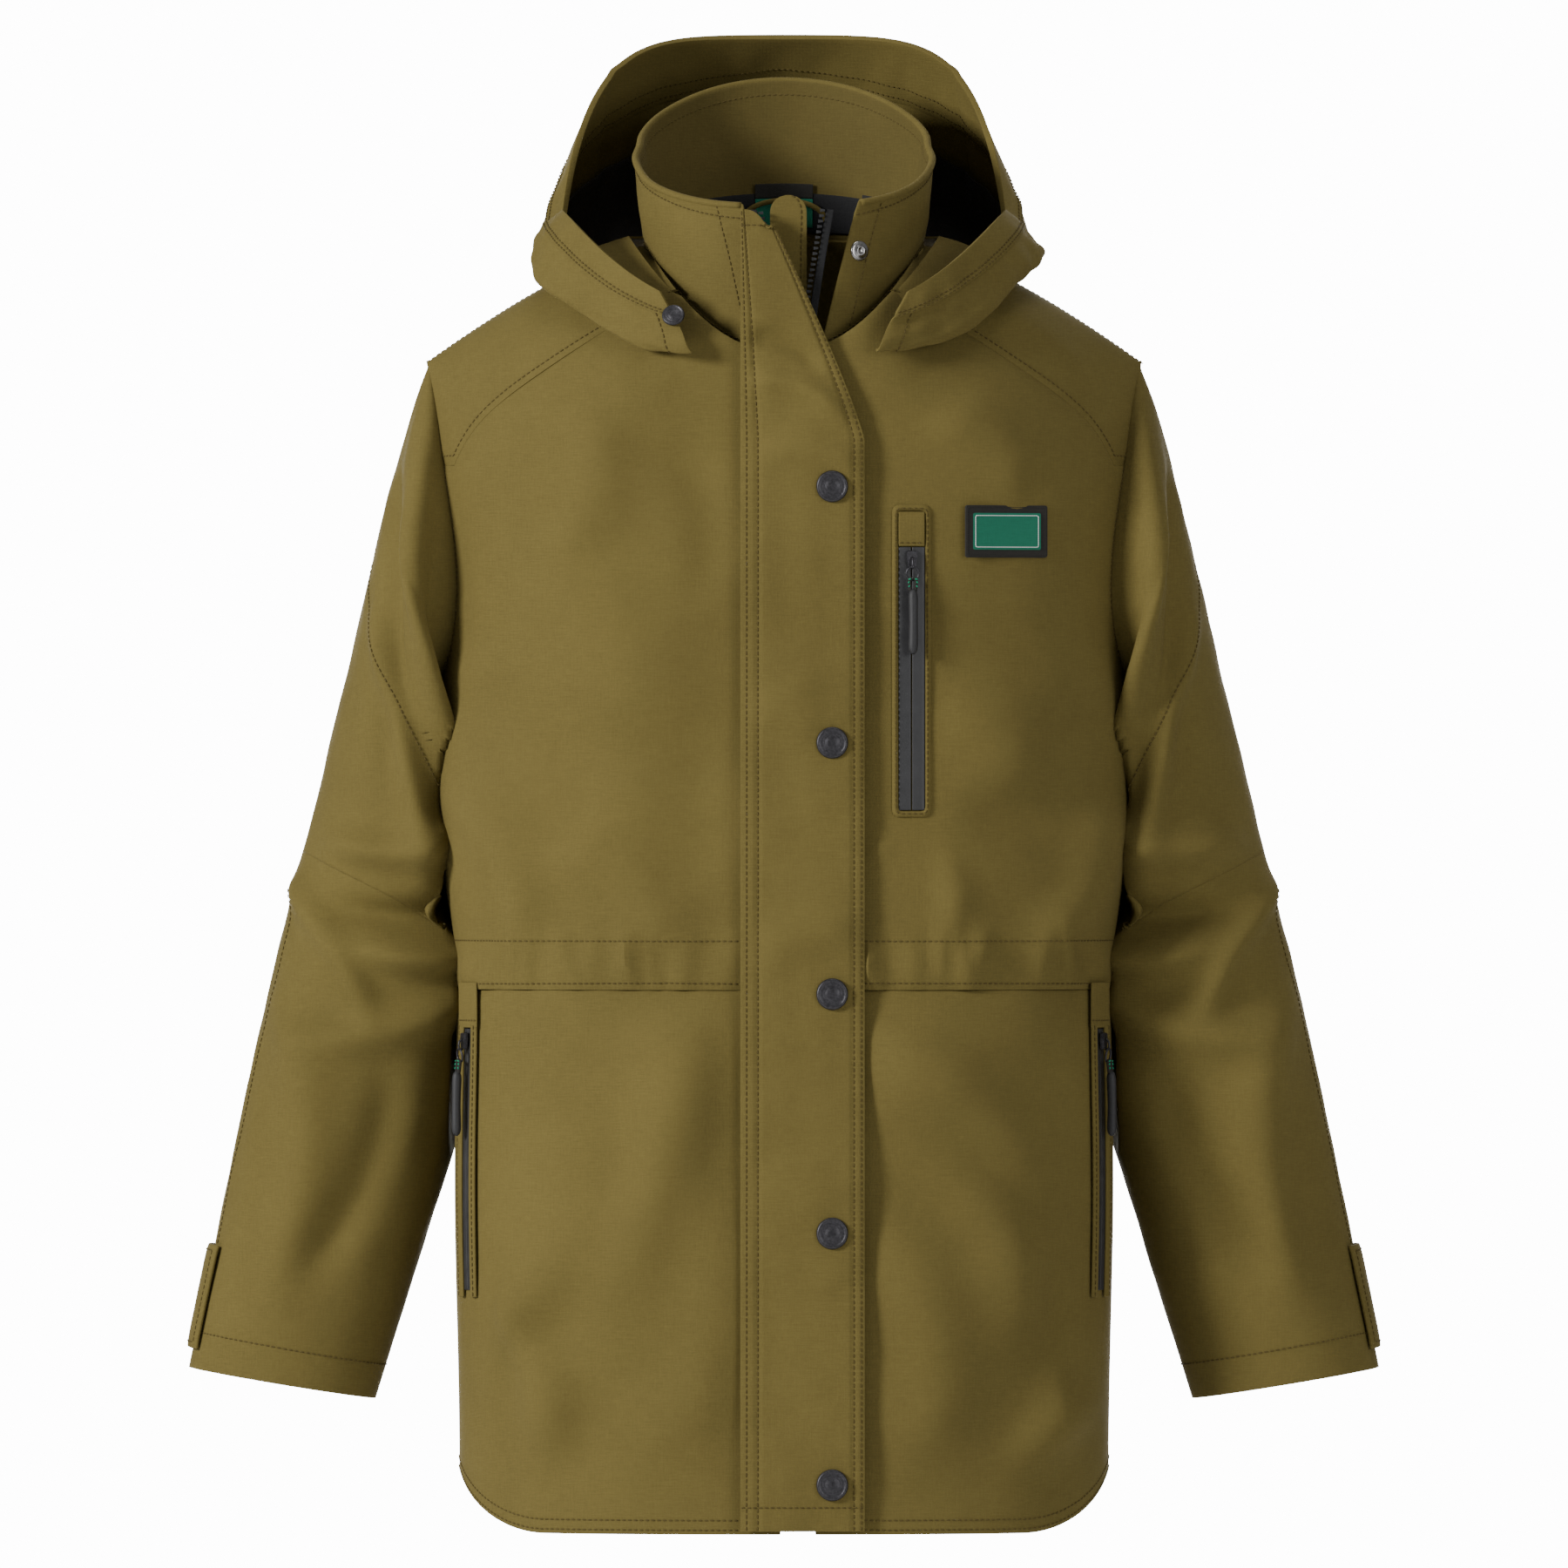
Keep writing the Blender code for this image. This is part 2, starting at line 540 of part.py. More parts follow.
def make_collar():
    sheet("collar", collar_grid(0.0, 1.0, 5, 30, 0.0), "olive_cloth", 0.0014)
    sheet("collar_lining", collar_grid(0.10, 0.97, 4, 30, -0.0024, 0.003), "olive_cloth", 0.0010)
    turn = np.linspace(-1.9, 1.9, 20)[None, :] * np.ones((2, 1))
    rise = np.array([[0.02], [0.16]]) * np.ones((1, 20))
    tape = outward(collar_point(turn, rise, -0.0046), (0, NECK_Y, BACK_LENGTH))
    sheet("neck_tape", tape, "black_tape", 0.0006)
    loop_y = LOOP_AT[1] + 0.0055
    arch = [(0.024 * math.cos(a), loop_y - 0.0015 - 0.004 * math.sin(a),
             LOOP_AT[2] + LOOP_RADIUS - 0.012 + 0.012 * math.sin(a)) for a in np.linspace(0, math.pi, 11)]
    tube("hanger_loop", arch, LOOP_RADIUS, "olive_cloth")


# ---- front closure ---------------------------------------------------------------------------
def front_y(x, z, stand=0.0):
    """The straight front, without the shoulder's fall, and how far a piece stands off it."""
    share = np.clip(np.abs(x) / half_width(np.minimum(z, 0.5) * 0 + 0.3), 0, 1)
    curve = np.clip(1 - share ** (2 / ROUND), 0, 1) ** (ROUND / 2)
    return -(depth_at(z, True) * curve + stand)


def front_grid(edges, heights, stand, columns):
    """A strip on the front between two edges, each a function of height."""
    z = np.asarray(heights, float)[:, None] * np.ones((1, columns))
    share = np.linspace(0, 1, columns)[None, :]
    x = edges[0](z) + (edges[1](z) - edges[0](z)) * share
    return np.stack([x, front_y(x, z, stand), z], -1)


def spread(z):
    """How far the zip's halves have parted above the slider, from 0 to 1."""
    return np.clip((z - ZIP_TOP - 0.022) / 0.085, 0, 1) ** 1.2


def tape_width(z):
    """The zip tapes narrow where they run up between the collar's front edges."""
    return TAPE_WIDTH * (1 - 0.68 * np.clip((z - ZIP_TOP) / 0.022, 0, 1))


def flap_free_edge(z):
    """Straight up to the chest, then a curve in towards the throat."""
    rise = np.clip((z - FLAP_TOP + 0.132) / 0.132, 0, 1)
    return FLAP_LEFT + FLAP_WIDTH - 0.056 * rise ** 1.15


def make_front():
    heights = np.concatenate([[0.002], np.linspace(0.10, FLAP_TOP - 0.157, 5),
                              np.linspace(FLAP_TOP - 0.132, FLAP_TOP, 8)])
    flap = front_grid((constant(FLAP_LEFT), flap_free_edge), heights, FLAP_STAND + 0.0022, 6)
    sheet("storm_flap", outward(flap, (0, 0, 0.4)), "olive_cloth", 0.0022)
    lean = math.atan(FRONT_LEAN)
    facing = (math.pi / 2 - lean, 0.0, 0.0)
    for number, z in enumerate(SNAP_Z, 1):
        y = float(front_y(SNAP_X, z, FLAP_STAND + 0.0022 + CLEAR))
        turned(f"snap_cap_{number}", snap_profile(SNAP_RADIUS, SNAP_HEIGHT), "gunmetal",
               (SNAP_X, y, z), facing)
        y = float(front_y(SNAP_X, z, CLEAR))
        turned(f"snap_stud_{number}", snap_profile(STUD_RADIUS, STUD_HEIGHT), "silver_metal",
               (SNAP_X, y, z), facing, 10)
    for name, side, reach in (("right", -1, -0.021), ("left", 1, 0.013)):
        heights = np.concatenate([np.linspace(0.006, ZIP_TOP, 6),
                                  ZIP_TOP + 0.022 + np.linspace(0.0, 0.080, 6)])
        inner = ZIP_GAP + TEETH_WIDTH + CLEAR

        def edge(offset, side=side, reach=reach):
            return lambda z: ZIP_X + side * offset + reach * spread(z)

        def outer(z, side=side, reach=reach):
            return ZIP_X + side * (inner + tape_width(z)) + reach * spread(z)
        behind = -(CLOTH + ZIP_BEHIND)
        tape = front_grid((edge(inner), outer), heights, behind, 3)
        sheet("zip_tape_" + name, outward(tape, (0, 0, 0.4)), "black_tape", 0.0008)
        teeth = front_grid((edge(ZIP_GAP), edge(ZIP_GAP + TEETH_WIDTH)), heights,
                           behind + 0.0008, 2)
        sheet("zip_teeth_" + name, outward(teeth, (0, 0, 0.4)), "black_plastic", TEETH_THICK)
    guard = front_grid((constant(-0.008), constant(0.013)),
                       list(TALL * np.array([0.010, 0.16, 0.32, 0.48, 0.64]))
                       + [FLAP_TOP - 0.057, FLAP_TOP - 0.012, FLAP_TOP], -0.0082, 3)
    guard[-1, :, 2] += np.array([0.0, 0.004, 0.0])
    sheet("zip_guard", outward(guard, (0, 0, 0.4)), "olive_cloth", 0.0016)
    middle = float(front_y(ZIP_X, ZIP_TOP, -(CLOTH + ZIP_BEHIND) + 0.0008 - TEETH_THICK / 2))
    add_slider("front_slider", (ZIP_X, middle, ZIP_TOP), facing, TEETH_THICK + 2 * CLEAR)
    puller_y = middle - TEETH_THICK / 2 - CLEAR - 0.0033
    box("front_puller", (ZIP_X, puller_y, ZIP_TOP - 0.012), (0.0045, 0.0011, 0.020),
        "gunmetal", (-lean, 0, 0))


def snap_profile(radius, height):
    return [(0.0, height), (radius * 0.72, height * 0.96), (radius * 0.93, height * 0.66),
            (radius, height * 0.25), (radius * 0.97, 0.0), (0.0, 0.0)]


def add_slider(name, centre, facing, slot):
    """Two plates joined by a post that runs between the teeth."""
    half = 0.0045
    post = 0.00035
    plate = 0.0009
    outline = [(-half, slot / 2), (-half, slot / 2 + plate), (half, slot / 2 + plate),
               (half, slot / 2), (post, slot / 2), (post, -slot / 2), (half, -slot / 2),
               (half, -slot / 2 - plate), (-half, -slot / 2 - plate), (-half, -slot / 2),
               (-post, -slot / 2), (-post, slot / 2)]
    curve = bpy.data.curves.new(name, "CURVE")
    curve.dimensions = "2D"
    curve.fill_mode = "BOTH"
    curve.extrude = 0.0045
    spline = curve.splines.new("POLY")
    spline.points.add(len(outline) - 1)
    spline.use_cyclic_u = True
    for place, (x, y) in zip(spline.points, outline):
        place.co = (x, y, 0.0, 1.0)
    piece = add_object(name, curve, "black_plastic")
    piece.location = centre
    piece.rotation_euler = (facing[0] - math.pi / 2, 0.0, 0.0)
    return piece


# ---- pockets and trim ------------------------------------------------------------------------
def surface_strip(phi_from, phi_to, heights, stand, columns, turn=1.0):
    phi = np.linspace(phi_from, phi_to, columns)[None, :] * np.ones((len(heights), 1))
    z = np.asarray(heights, float)[:, None] * np.ones((1, columns))
    return outward(body_point(phi * turn, z, True, -stand), (0, 0, 0.4))


def make_chest_pocket():
    half = STRIP_WIDTH / 2
    top = CHEST_ZIP_BOTTOM + CHEST_ZIP_LENGTH
    columns = [CHEST_ZIP_X - half - 0.004, CHEST_ZIP_X - half - CLEAR / 2,
               CHEST_ZIP_X + half + CLEAR / 2, CHEST_ZIP_X + half + 0.004]
    rows = [CHEST_ZIP_BOTTOM - 0.004, CHEST_ZIP_BOTTOM - CLEAR, top + 0.0206, top + 0.0246]
    z = np.array(rows)[:, None] * np.ones((1, 4))
    x = np.array(columns)[None, :] * np.ones((4, 1))
    frame = outward(np.stack([x, front_y(x, z, 0.0028), z], -1), (0, 0, 0.4))
    sheet("chest_welt", frame, "olive_cloth", 0.0010,
          drop=lambda row, column: row == 1 and column == 1)
    for name, low, high, stand, finish in (
            ("chest_zip_tape", CHEST_ZIP_BOTTOM, top, 0.0024, "black_tape"),
            ("chest_garage", top + CLEAR, top + 0.020, 0.0026, "olive_cloth")):
        z = np.array([low, high])[:, None] * np.ones((1, 3))
        x = CHEST_ZIP_X + half * np.array([-1.0, 0.0, 1.0])[None, :] * np.ones((2, 1))
        sheet(name, outward(np.stack([x, front_y(x, z, stand), z], -1), (0, 0, 0.4)), finish,
              0.0006)
    y = float(front_y(CHEST_ZIP_X, top - 0.007, 0.0024))
    lean = math.atan(FRONT_LEAN)
    swing = math.atan2(float(front_y(CHEST_ZIP_X + half, top) - front_y(CHEST_ZIP_X - half, top)),
                       STRIP_WIDTH)
    box("chest_slider", (CHEST_ZIP_X, y - 0.0022, top - 0.007), (0.006, 0.0020, 0.010),
        "gunmetal", (-lean, 0, swing), 0.0004)
    box("chest_puller", (CHEST_ZIP_X, y - 0.0056, top - 0.031), (0.0055, 0.0032, 0.036),
        "rubber", (-lean, 0, swing), 0.0012)
    bag = surface_strip(float(phi_of(0.050)), float(phi_of(0.118)),
                        TALL * np.array([0.375, 0.45, 0.52, 0.595]), -0.0042, 5)
    sheet("chest_pocket_bag", bag, "black_lining", 0.0030)
    x, z = PATCH_AT
    turn = math.atan2(float(front_y(x + 0.02, z) - front_y(x - 0.02, z)), 0.04)
    y = float(front_y(x, z)) - 0.0042
    box("chest_patch", (x, y, z), (PATCH_SIZE[0], 0.0014, PATCH_SIZE[1]), "badge_green",
        (-lean, 0, turn))


def pocket_frame():
    """Middle, upward direction and outward turn of the hand pocket's zip."""
    low = POCKET_ZIP_TOP - POCKET_ZIP_LENGTH
    ends = [body_point(np.array(POCKET_TURN), np.array(z), True) for z in (low, POCKET_ZIP_TOP)]
    near = body_point(np.array(POCKET_TURN - 0.03), np.array(POCKET_ZIP_TOP), True)
    far = body_point(np.array(POCKET_TURN + 0.03), np.array(POCKET_ZIP_TOP), True)
    across = far - near
    normal = np.array([-across[1], across[0], 0.0])
    normal = normal / np.linalg.norm(normal)
    if normal[1] > 0:
        normal = -normal
    return ends, normal


def make_hand_pockets():
    (low, high), normal = pocket_frame()
    step = STRIP_WIDTH / 2 / 0.115
    lean = math.atan2(high[1] - low[1], high[2] - low[2])
    for name, side in (("right", -1), ("left", 1)):
        strip = surface_strip(POCKET_TURN - step, POCKET_TURN + step,
                              [low[2], (low[2] + high[2]) / 2, high[2]], 0.0014, 4, side)
        sheet("hand_zip_tape_" + name, strip, "black_tape", 0.0007)
        garage = surface_strip(POCKET_TURN - step * 1.6, POCKET_TURN + step * 1.5,
                               [high[2] + CLEAR, WAIST_Z + 0.004], 0.0016, 4, side)
        sheet("hand_garage_" + name, garage, "olive_cloth", 0.0008)
        bag = surface_strip(float(phi_of(0.095)), POCKET_TURN + 0.10,
                            TALL * np.array([0.075, 0.15, 0.22, 0.296]), -0.0042, 6, side)
        sheet("hand_pocket_bag_" + name, bag, "black_lining", 0.0030)
        turn = math.atan2(normal[0], -normal[1]) * side
        flip = np.array([side, 1.0, 1.0])
        at = (high + normal * 0.0040) * flip
        box("hand_slider_" + name, (at[0], at[1], high[2] - 0.007), (0.006, 0.0020, 0.010),
            "gunmetal", (lean, 0, turn), 0.0004)
        at = (high + normal * 0.0076) * flip
        box("hand_puller_" + name, (at[0], at[1], high[2] - 0.031), (0.0055, 0.0032, 0.036),
            "rubber", (lean, 0, turn), 0.0012)


def make_inside():
    round_strip("body_lining", 0.030, 0.470 * TALL, LINING_INSET, 7, 26, "black_lining", 0.0008)
    round_strip("waist_casing", WAIST_Z + 0.002, WAIST_Z + 0.028, CLOTH + 0.0010, 2, 26,
                "olive_cloth", 0.0008)


def main():
    clear_scene()
    group = bpy.data.collections.new(COLLECTION)
    bpy.context.scene.collection.children.link(group)
    frame = bpy.data.objects.new("jacket_frame", None)
    group.objects.link(frame)
    frame.location = Vector((-LOOP_AT[0], -LOOP_AT[1], -LOOP_AT[2]))
    make_body()
    make_sleeves()
    make_collar()
    make_hood()
    make_front()
    make_chest_pocket()
    make_hand_pockets()
    make_inside()


main()
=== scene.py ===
import math

import bmesh
import bpy
import numpy as np
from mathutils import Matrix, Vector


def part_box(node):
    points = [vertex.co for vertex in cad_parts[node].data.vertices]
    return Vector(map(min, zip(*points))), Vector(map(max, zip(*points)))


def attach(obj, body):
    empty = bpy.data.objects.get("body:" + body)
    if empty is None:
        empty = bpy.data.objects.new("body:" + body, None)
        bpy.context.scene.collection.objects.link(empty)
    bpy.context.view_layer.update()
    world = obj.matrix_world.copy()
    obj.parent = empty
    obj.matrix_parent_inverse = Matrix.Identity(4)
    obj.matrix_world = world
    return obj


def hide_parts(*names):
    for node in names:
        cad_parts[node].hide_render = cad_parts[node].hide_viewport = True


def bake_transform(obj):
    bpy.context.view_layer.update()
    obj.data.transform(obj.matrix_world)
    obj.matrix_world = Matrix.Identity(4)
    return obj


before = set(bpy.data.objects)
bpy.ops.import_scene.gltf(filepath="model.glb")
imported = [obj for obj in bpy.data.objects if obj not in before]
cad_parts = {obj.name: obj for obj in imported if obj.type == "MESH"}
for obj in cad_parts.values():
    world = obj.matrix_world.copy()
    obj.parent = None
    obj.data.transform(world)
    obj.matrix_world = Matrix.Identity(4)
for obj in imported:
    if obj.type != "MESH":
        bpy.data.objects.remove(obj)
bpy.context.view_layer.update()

# places read from the frame: the hem, the plane of the side seams, the hem's half width, the waist
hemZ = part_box("front_skirt_left")[0][2]
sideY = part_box("front_skirt_left")[1][1]
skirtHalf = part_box("front_skirt_left")[1][0]
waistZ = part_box("front_skirt_left")[1][2] - hemZ
origin = np.array([0.0, sideY, hemZ])

body = {"half": skirtHalf, "chestEase": 0.010, "shoulderX": 0.2062, "shoulderDrop": 0.0675,
        "frontDepth": 0.128, "lean": 0.0286, "round": 0.77, "neckHalf": 0.080,
        "neckDrop": 0.069, "back": 0.745, "collarBack": 0.093,
        "armholeTall": 0.188, "armholeTurn": math.radians(20.7)}
armTop = body["back"] - 0.006 - body["shoulderDrop"]
armMid = armTop - body["armholeTall"] / 2
sidePhi = math.pi / 2
neckY = -0.0125


# the jacket's surfaces, in hem coordinates: x across, y to the back, z above the hem
def smoothStep(a, b, v):
    # 0 below a, 1 above b, 3t^2 - 2t^3 between
    t = np.clip((v - a) / (b - a), 0, 1)
    return t * t * (3 - 2 * t)


def byRow(low, high, rows, columns):
    # a grid whose value changes from low to high down its rows
    return np.linspace(low, high, rows)[:, None] * np.ones((1, columns))


def byColumn(low, high, columns, rows):
    # a grid whose value changes from low to high along its columns
    return np.linspace(low, high, columns)[None, :] * np.ones((rows, 1))


def halfWidth(z):
    # half the body's width: level to the waist, fuller at the chest, widest at the shoulders
    chest = body["chestEase"] * np.exp(-((z - 0.44) / 0.085) ** 2)
    hip = 0.0030 * np.exp(-((z - 0.20) / 0.10) ** 2)
    return (body["half"] + chest + hip + 0.004 * smoothStep(waistZ, 0.40, z)
            + (body["shoulderX"] - body["half"] - 0.004) * smoothStep(0.50, 0.63, z))


def depthAt(z, front):
    # front: a straight leaning line; back: hollow at the waist, full at the shoulder blades
    if front:
        return body["frontDepth"] - body["lean"] * z
    return np.interp(z, (0.0, waistZ, 0.55, 0.70, 0.80), (0.122, 0.110, 0.118, 0.100, 0.088))


def shoulderLine(x):
    out = np.clip((np.abs(x) - body["neckHalf"]) / (body["shoulderX"] - body["neckHalf"]), 0, None)
    inside = np.clip(1 - (np.abs(x) / body["neckHalf"]) ** 2, 0, None) ** 1.3
    return body["back"] - 0.006 - body["shoulderDrop"] * out ** 1.35 + 0.036 * inside


def shoulderRound(x):
    return 0.06 + 0.10 * np.clip(np.abs(x) / body["shoulderX"], 0, 1)


def frontNeck(x):
    share = np.clip(np.abs(x) / body["neckHalf"], 0, 1)
    return body["back"] - body["neckDrop"] + (body["neckDrop"] - 0.006) * share ** 2.2


def backNeck(x):
    return body["back"] - 0.006 * np.clip(np.abs(x) / body["neckHalf"], 0, 1) ** 2


def bodyPoint(phi, z, front, inset=0.0):
    # superellipse section: x = W sin(phi)^r, y = D cos(phi)^r, and D falls to 0 over the shoulder
    r = body["round"]
    x = (halfWidth(z) - inset) * np.abs(np.sin(phi)) ** r * np.sign(phi)
    under = np.clip((shoulderLine(x) - inset - z) / shoulderRound(x), 0, 1)
    fall = np.sqrt(np.clip(1 - (1 - under) ** 2, 0, 1))
    y = (depthAt(z, front) - inset) * np.abs(np.cos(phi)) ** r * fall
    return np.stack([x, -y if front else y, z * np.ones_like(x)], -1)


def phiOf(x, z=0.311):
    share = np.clip(np.abs(x) / halfWidth(z), 0, 1)
    return np.arcsin(share ** (1 / body["round"])) * np.sign(x)


def armPhi(z):
    inside = np.clip(1 - ((z - armMid) / (body["armholeTall"] / 2)) ** 2, 0, 1)
    return sidePhi - body["armholeTurn"] * np.sqrt(inside)


def softPhi(z):
    # the armhole's line with rounded ends, for the columns away from the edge
    inside = np.clip(1 - ((z - armMid) / (body["armholeTall"] * 0.60)) ** 2, 0, 1)
    return sidePhi - body["armholeTurn"] * inside ** 1.5


def constant(value):
    return lambda place: np.full_like(np.asarray(place, float), value)


def bodyGrid(inner, outer, low, high, front, rows, columns):
    # a patch: phi runs from inner(z) to outer(z), z from low(x) to high(x) by arc length
    u = byColumn(0, 1, columns, rows)
    u = 1 - (1 - u) ** 1.25
    v = byRow(0, 1, rows, columns)
    z = 0.35 + 0.3 * v
    soft = softPhi if outer is armPhi else outer
    for _ in range(16):
        phi = inner(z) + (soft(z) - inner(z)) * u + (outer(z) - soft(z)) * u ** 8
        x = halfWidth(z) * np.abs(np.sin(phi)) ** body["round"] * np.sign(phi)
        ridge = shoulderLine(x)
        bend = shoulderRound(x)
        bottom = low(x)
        top = np.minimum(high(x), ridge - 1e-7)
        start = np.maximum(ridge - bend, bottom)
        turn = np.where(top > start, math.pi / 2 - np.arccos(1 - np.clip((ridge - top) / bend,
                                                                         0, 1)),
                        0.0)
        first = np.where(bottom > ridge - bend,
                         np.arcsin(np.clip((bottom - (ridge - bend)) / bend, 0, 1)), 0.0)
        straight = np.maximum(np.minimum(start, top) - bottom, 0)
        run = v * (straight + bend * np.maximum(turn - first, 0))
        rise = ridge - bend + bend * np.sin(first + (run - straight) / bend)
        z = np.where(run <= straight, bottom + run, np.minimum(rise, top))
    phi = inner(z) + (soft(z) - inner(z)) * u + (outer(z) - soft(z)) * u ** 8
    return bodyPoint(phi, z, front), u, v


def raglan(x):
    share = np.clip((np.abs(x) - 0.062) / 0.128, 0, 1)
    top = frontNeck(0.062)
    return top - (top - (armMid + 0.034)) * (0.82 * share ** 1.1 + 0.18 * share ** 12)


def hemLine(x):
    out = np.clip((np.abs(x) - (body["half"] - 0.050)) / 0.052, 0, 1)
    return 0.046 * (1 - np.sqrt(np.clip(1 - out ** 2, 0, 1)))


# cloth shape: folds and softness
def gridNormals(points):
    normals = np.cross(np.gradient(points, axis=1), np.gradient(points, axis=0))
    return normals / np.maximum(np.linalg.norm(normals, axis=-1, keepdims=True), 1e-12)


foldGain = 2.4
foldSpan = 0.16


def ridge(x, z, fold):
    # a fold along the line (x0,z0)-(x1,z1): a gaussian across it, faded at its ends
    x0, z0, x1, z1, width, height = fold
    length = math.hypot(x1 - x0, z1 - z0)
    along = ((x - x0) * (x1 - x0) + (z - z0) * (z1 - z0)) / length ** 2
    bow = 0.10 * length * np.sin(math.pi * np.clip(along, 0, 1))
    across = ((x - x0) * (z1 - z0) - (z - z0) * (x1 - x0)) / length + bow
    ends = smoothStep(-0.15, 0.25, along) * (1 - smoothStep(0.75, 1.15, along))
    return foldGain * height * np.exp(-(across / width) ** 2) * ends


def ripple(a, b, seed, scale):
    # a sum of eight sine waves in random directions: soft unevenness, the same each run
    random = np.random.default_rng(seed)
    total = np.zeros_like(a)
    for _ in range(8):
        angle, phase, stretch = random.uniform(0, 2 * math.pi,
                                               2).tolist() + [random.uniform(0.6, 1.8)]
        total = total + np.sin((a * math.cos(angle) + b * math.sin(angle)) * stretch / scale
                               * 2 * math.pi + phase)
    return total / 8


def foldField(points, folds, seed, soft=0.0010):
    x, z = points[..., 0], points[..., 2]
    total = soft * ripple(x, z, seed, foldSpan)
    total = total + 0.35 * soft * ripple(x, z, seed + 7, foldSpan / 3.2)
    for fold in folds:
        total = total + ridge(x, z, fold)
    return total


def seamDip(distance, depth=0.0006, width=0.0035):
    # the cloth sinks where it is sewn
    return -depth * np.exp(-(distance / width) ** 2)


# meshes
def makeMesh(name, points, closed=False, uv=True):
    # a grid [row, column, xyz] in hem coordinates becomes a smooth mesh with its own UV in metres
    rows, columns = points.shape[:2]
    world = (points + origin).reshape(-1, 3)
    index = np.arange(rows * columns).reshape(rows, columns)
    right = np.roll(index, -1, axis=1) if closed else index[:, 1:]
    left = index if closed else index[:, :-1]
    quads = np.stack([left[:-1], right[:-1], right[1:], left[1:]], -1).reshape(-1, 4)
    mesh = bpy.data.meshes.new(name)
    mesh.from_pydata(world.tolist(), [], quads.tolist())
    mesh.update()
    if uv:
        du = np.linalg.norm(np.diff(points, axis=1, prepend=points[:, :1]), axis=-1).cumsum(1)
        dv = np.linalg.norm(np.diff(points, axis=0, prepend=points[:1]), axis=-1).cumsum(0)
        layer = mesh.uv_layers.new(name="cloth")
        corner = quads.ravel()
        both = np.stack([du.ravel()[corner], dv.ravel()[corner]], -1)
        layer.uv.foreach_set("vector", both.astype(np.float32).ravel())
    mesh.shade_smooth()
    piece = bpy.data.objects.new(name, mesh)
    bpy.context.scene.collection.objects.link(piece)
    return piece


def facing(points, centre):
    # turn the columns round if the faces would look at the centre
    normals = gridNormals(points)
    inward = np.sum(normals * (points - np.asarray(centre))) < 0
    return points[:, ::-1] if inward else points


def solidSheet(name, points, finish, bodyName, replaces=(), thickness=0.0016, closed=False,
               centre=(0, 0, 0.4)):
    grid = points if closed else facing(points, centre)
    piece = makeMesh(name, grid, closed)
    wall = piece.modifiers.new("wall", "SOLIDIFY")
    wall.thickness = thickness
    wall.offset = -1
    edge = piece.modifiers.new("turnedEdge", "BEVEL")
    edge.width = thickness * 0.42
    edge.segments = 2
    edge.limit_method = "ANGLE"
    edge.angle_limit = math.radians(50)
    piece.data.materials.append(finish)
    if bodyName:
        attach(piece, bodyName)
    if replaces:
        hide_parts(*replaces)
    return piece


def rawMesh(name, points, faces, finish, bodyName, smooth=True, replaces=()):
    mesh = bpy.data.meshes.new(name)
    mesh.from_pydata((np.asarray(points) + origin).tolist(), [], [list(f) for f in faces])
    mesh.update()
    if smooth:
        mesh.shade_smooth()
    piece = bpy.data.objects.new(name, mesh)
    bpy.context.scene.collection.objects.link(piece)
    piece.data.materials.append(finish)
    if bodyName:
        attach(piece, bodyName)
    if replaces:
        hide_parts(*replaces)
    return piece


def resample(path, step):
    # points every step along a polyline, by arc length
    path = np.asarray(path, float)
    lengths = np.concatenate([[0], np.linalg.norm(np.diff(path, axis=0), axis=1).cumsum()])
    count = max(int(lengths[-1] / step), 2)
    at = np.linspace(0, lengths[-1], count)
    return np.stack([np.interp(at, lengths, path[:, k]) for k in range(3)], -1)


def stitchRow(name, path, normals, bodyName, pitch=0.0034, length=0.0024, width=0.00042,
              finish=None):
    # one small six-sided spindle for each stitch, lying along the path and half sunk in the cloth
    path = np.asarray(path, float)
    lengths = np.concatenate([[0], np.linalg.norm(np.diff(path, axis=0), axis=1).cumsum()])
    at = np.arange(pitch / 2, lengths[-1], pitch)
    centre = np.stack([np.interp(at, lengths, path[:, k]) for k in range(3)], -1)
    ahead = np.stack([np.interp(at + 1e-3, lengths, path[:, k]) for k in range(3)], -1)
    behind = np.stack([np.interp(at - 1e-3, lengths, path[:, k]) for k in range(3)], -1)
    run = ahead - behind
    run /= np.linalg.norm(run, axis=1, keepdims=True) + 1e-12
    up = np.stack([np.interp(at, lengths, np.asarray(normals)[:, k]) for k in range(3)], -1)
    up /= np.linalg.norm(up, axis=1, keepdims=True) + 1e-12
    side = np.cross(run, up)
    ring = np.array([[math.cos(a), math.sin(a)] for a in np.arange(5) * 2 * math.pi / 5])
    layers = ((-0.5, 0.35), (-0.28, 1.0), (0.28, 1.0), (0.5, 0.35))
    points = np.stack([centre + run * length * along
                       + (side * ring[k, 0] + up * ring[k, 1] * 0.8) * width * size
                       for along, size in layers for k in range(5)], axis=1)
    count = len(layers) * 5
    faces = [[r * 5 + k, r * 5 + (k + 1) % 5, (r + 1) * 5 + (k + 1) % 5, (r + 1) * 5 + k]
             for r in range(3) for k in range(5)]
    faces += [[4, 3, 2, 1, 0], [15, 16, 17, 18, 19]]
    everything = [[v + n * count for v in face] for n in range(len(at)) for face in faces]
    return rawMesh(name, points.reshape(-1, 3), everything, finish or stitchThread, bodyName)


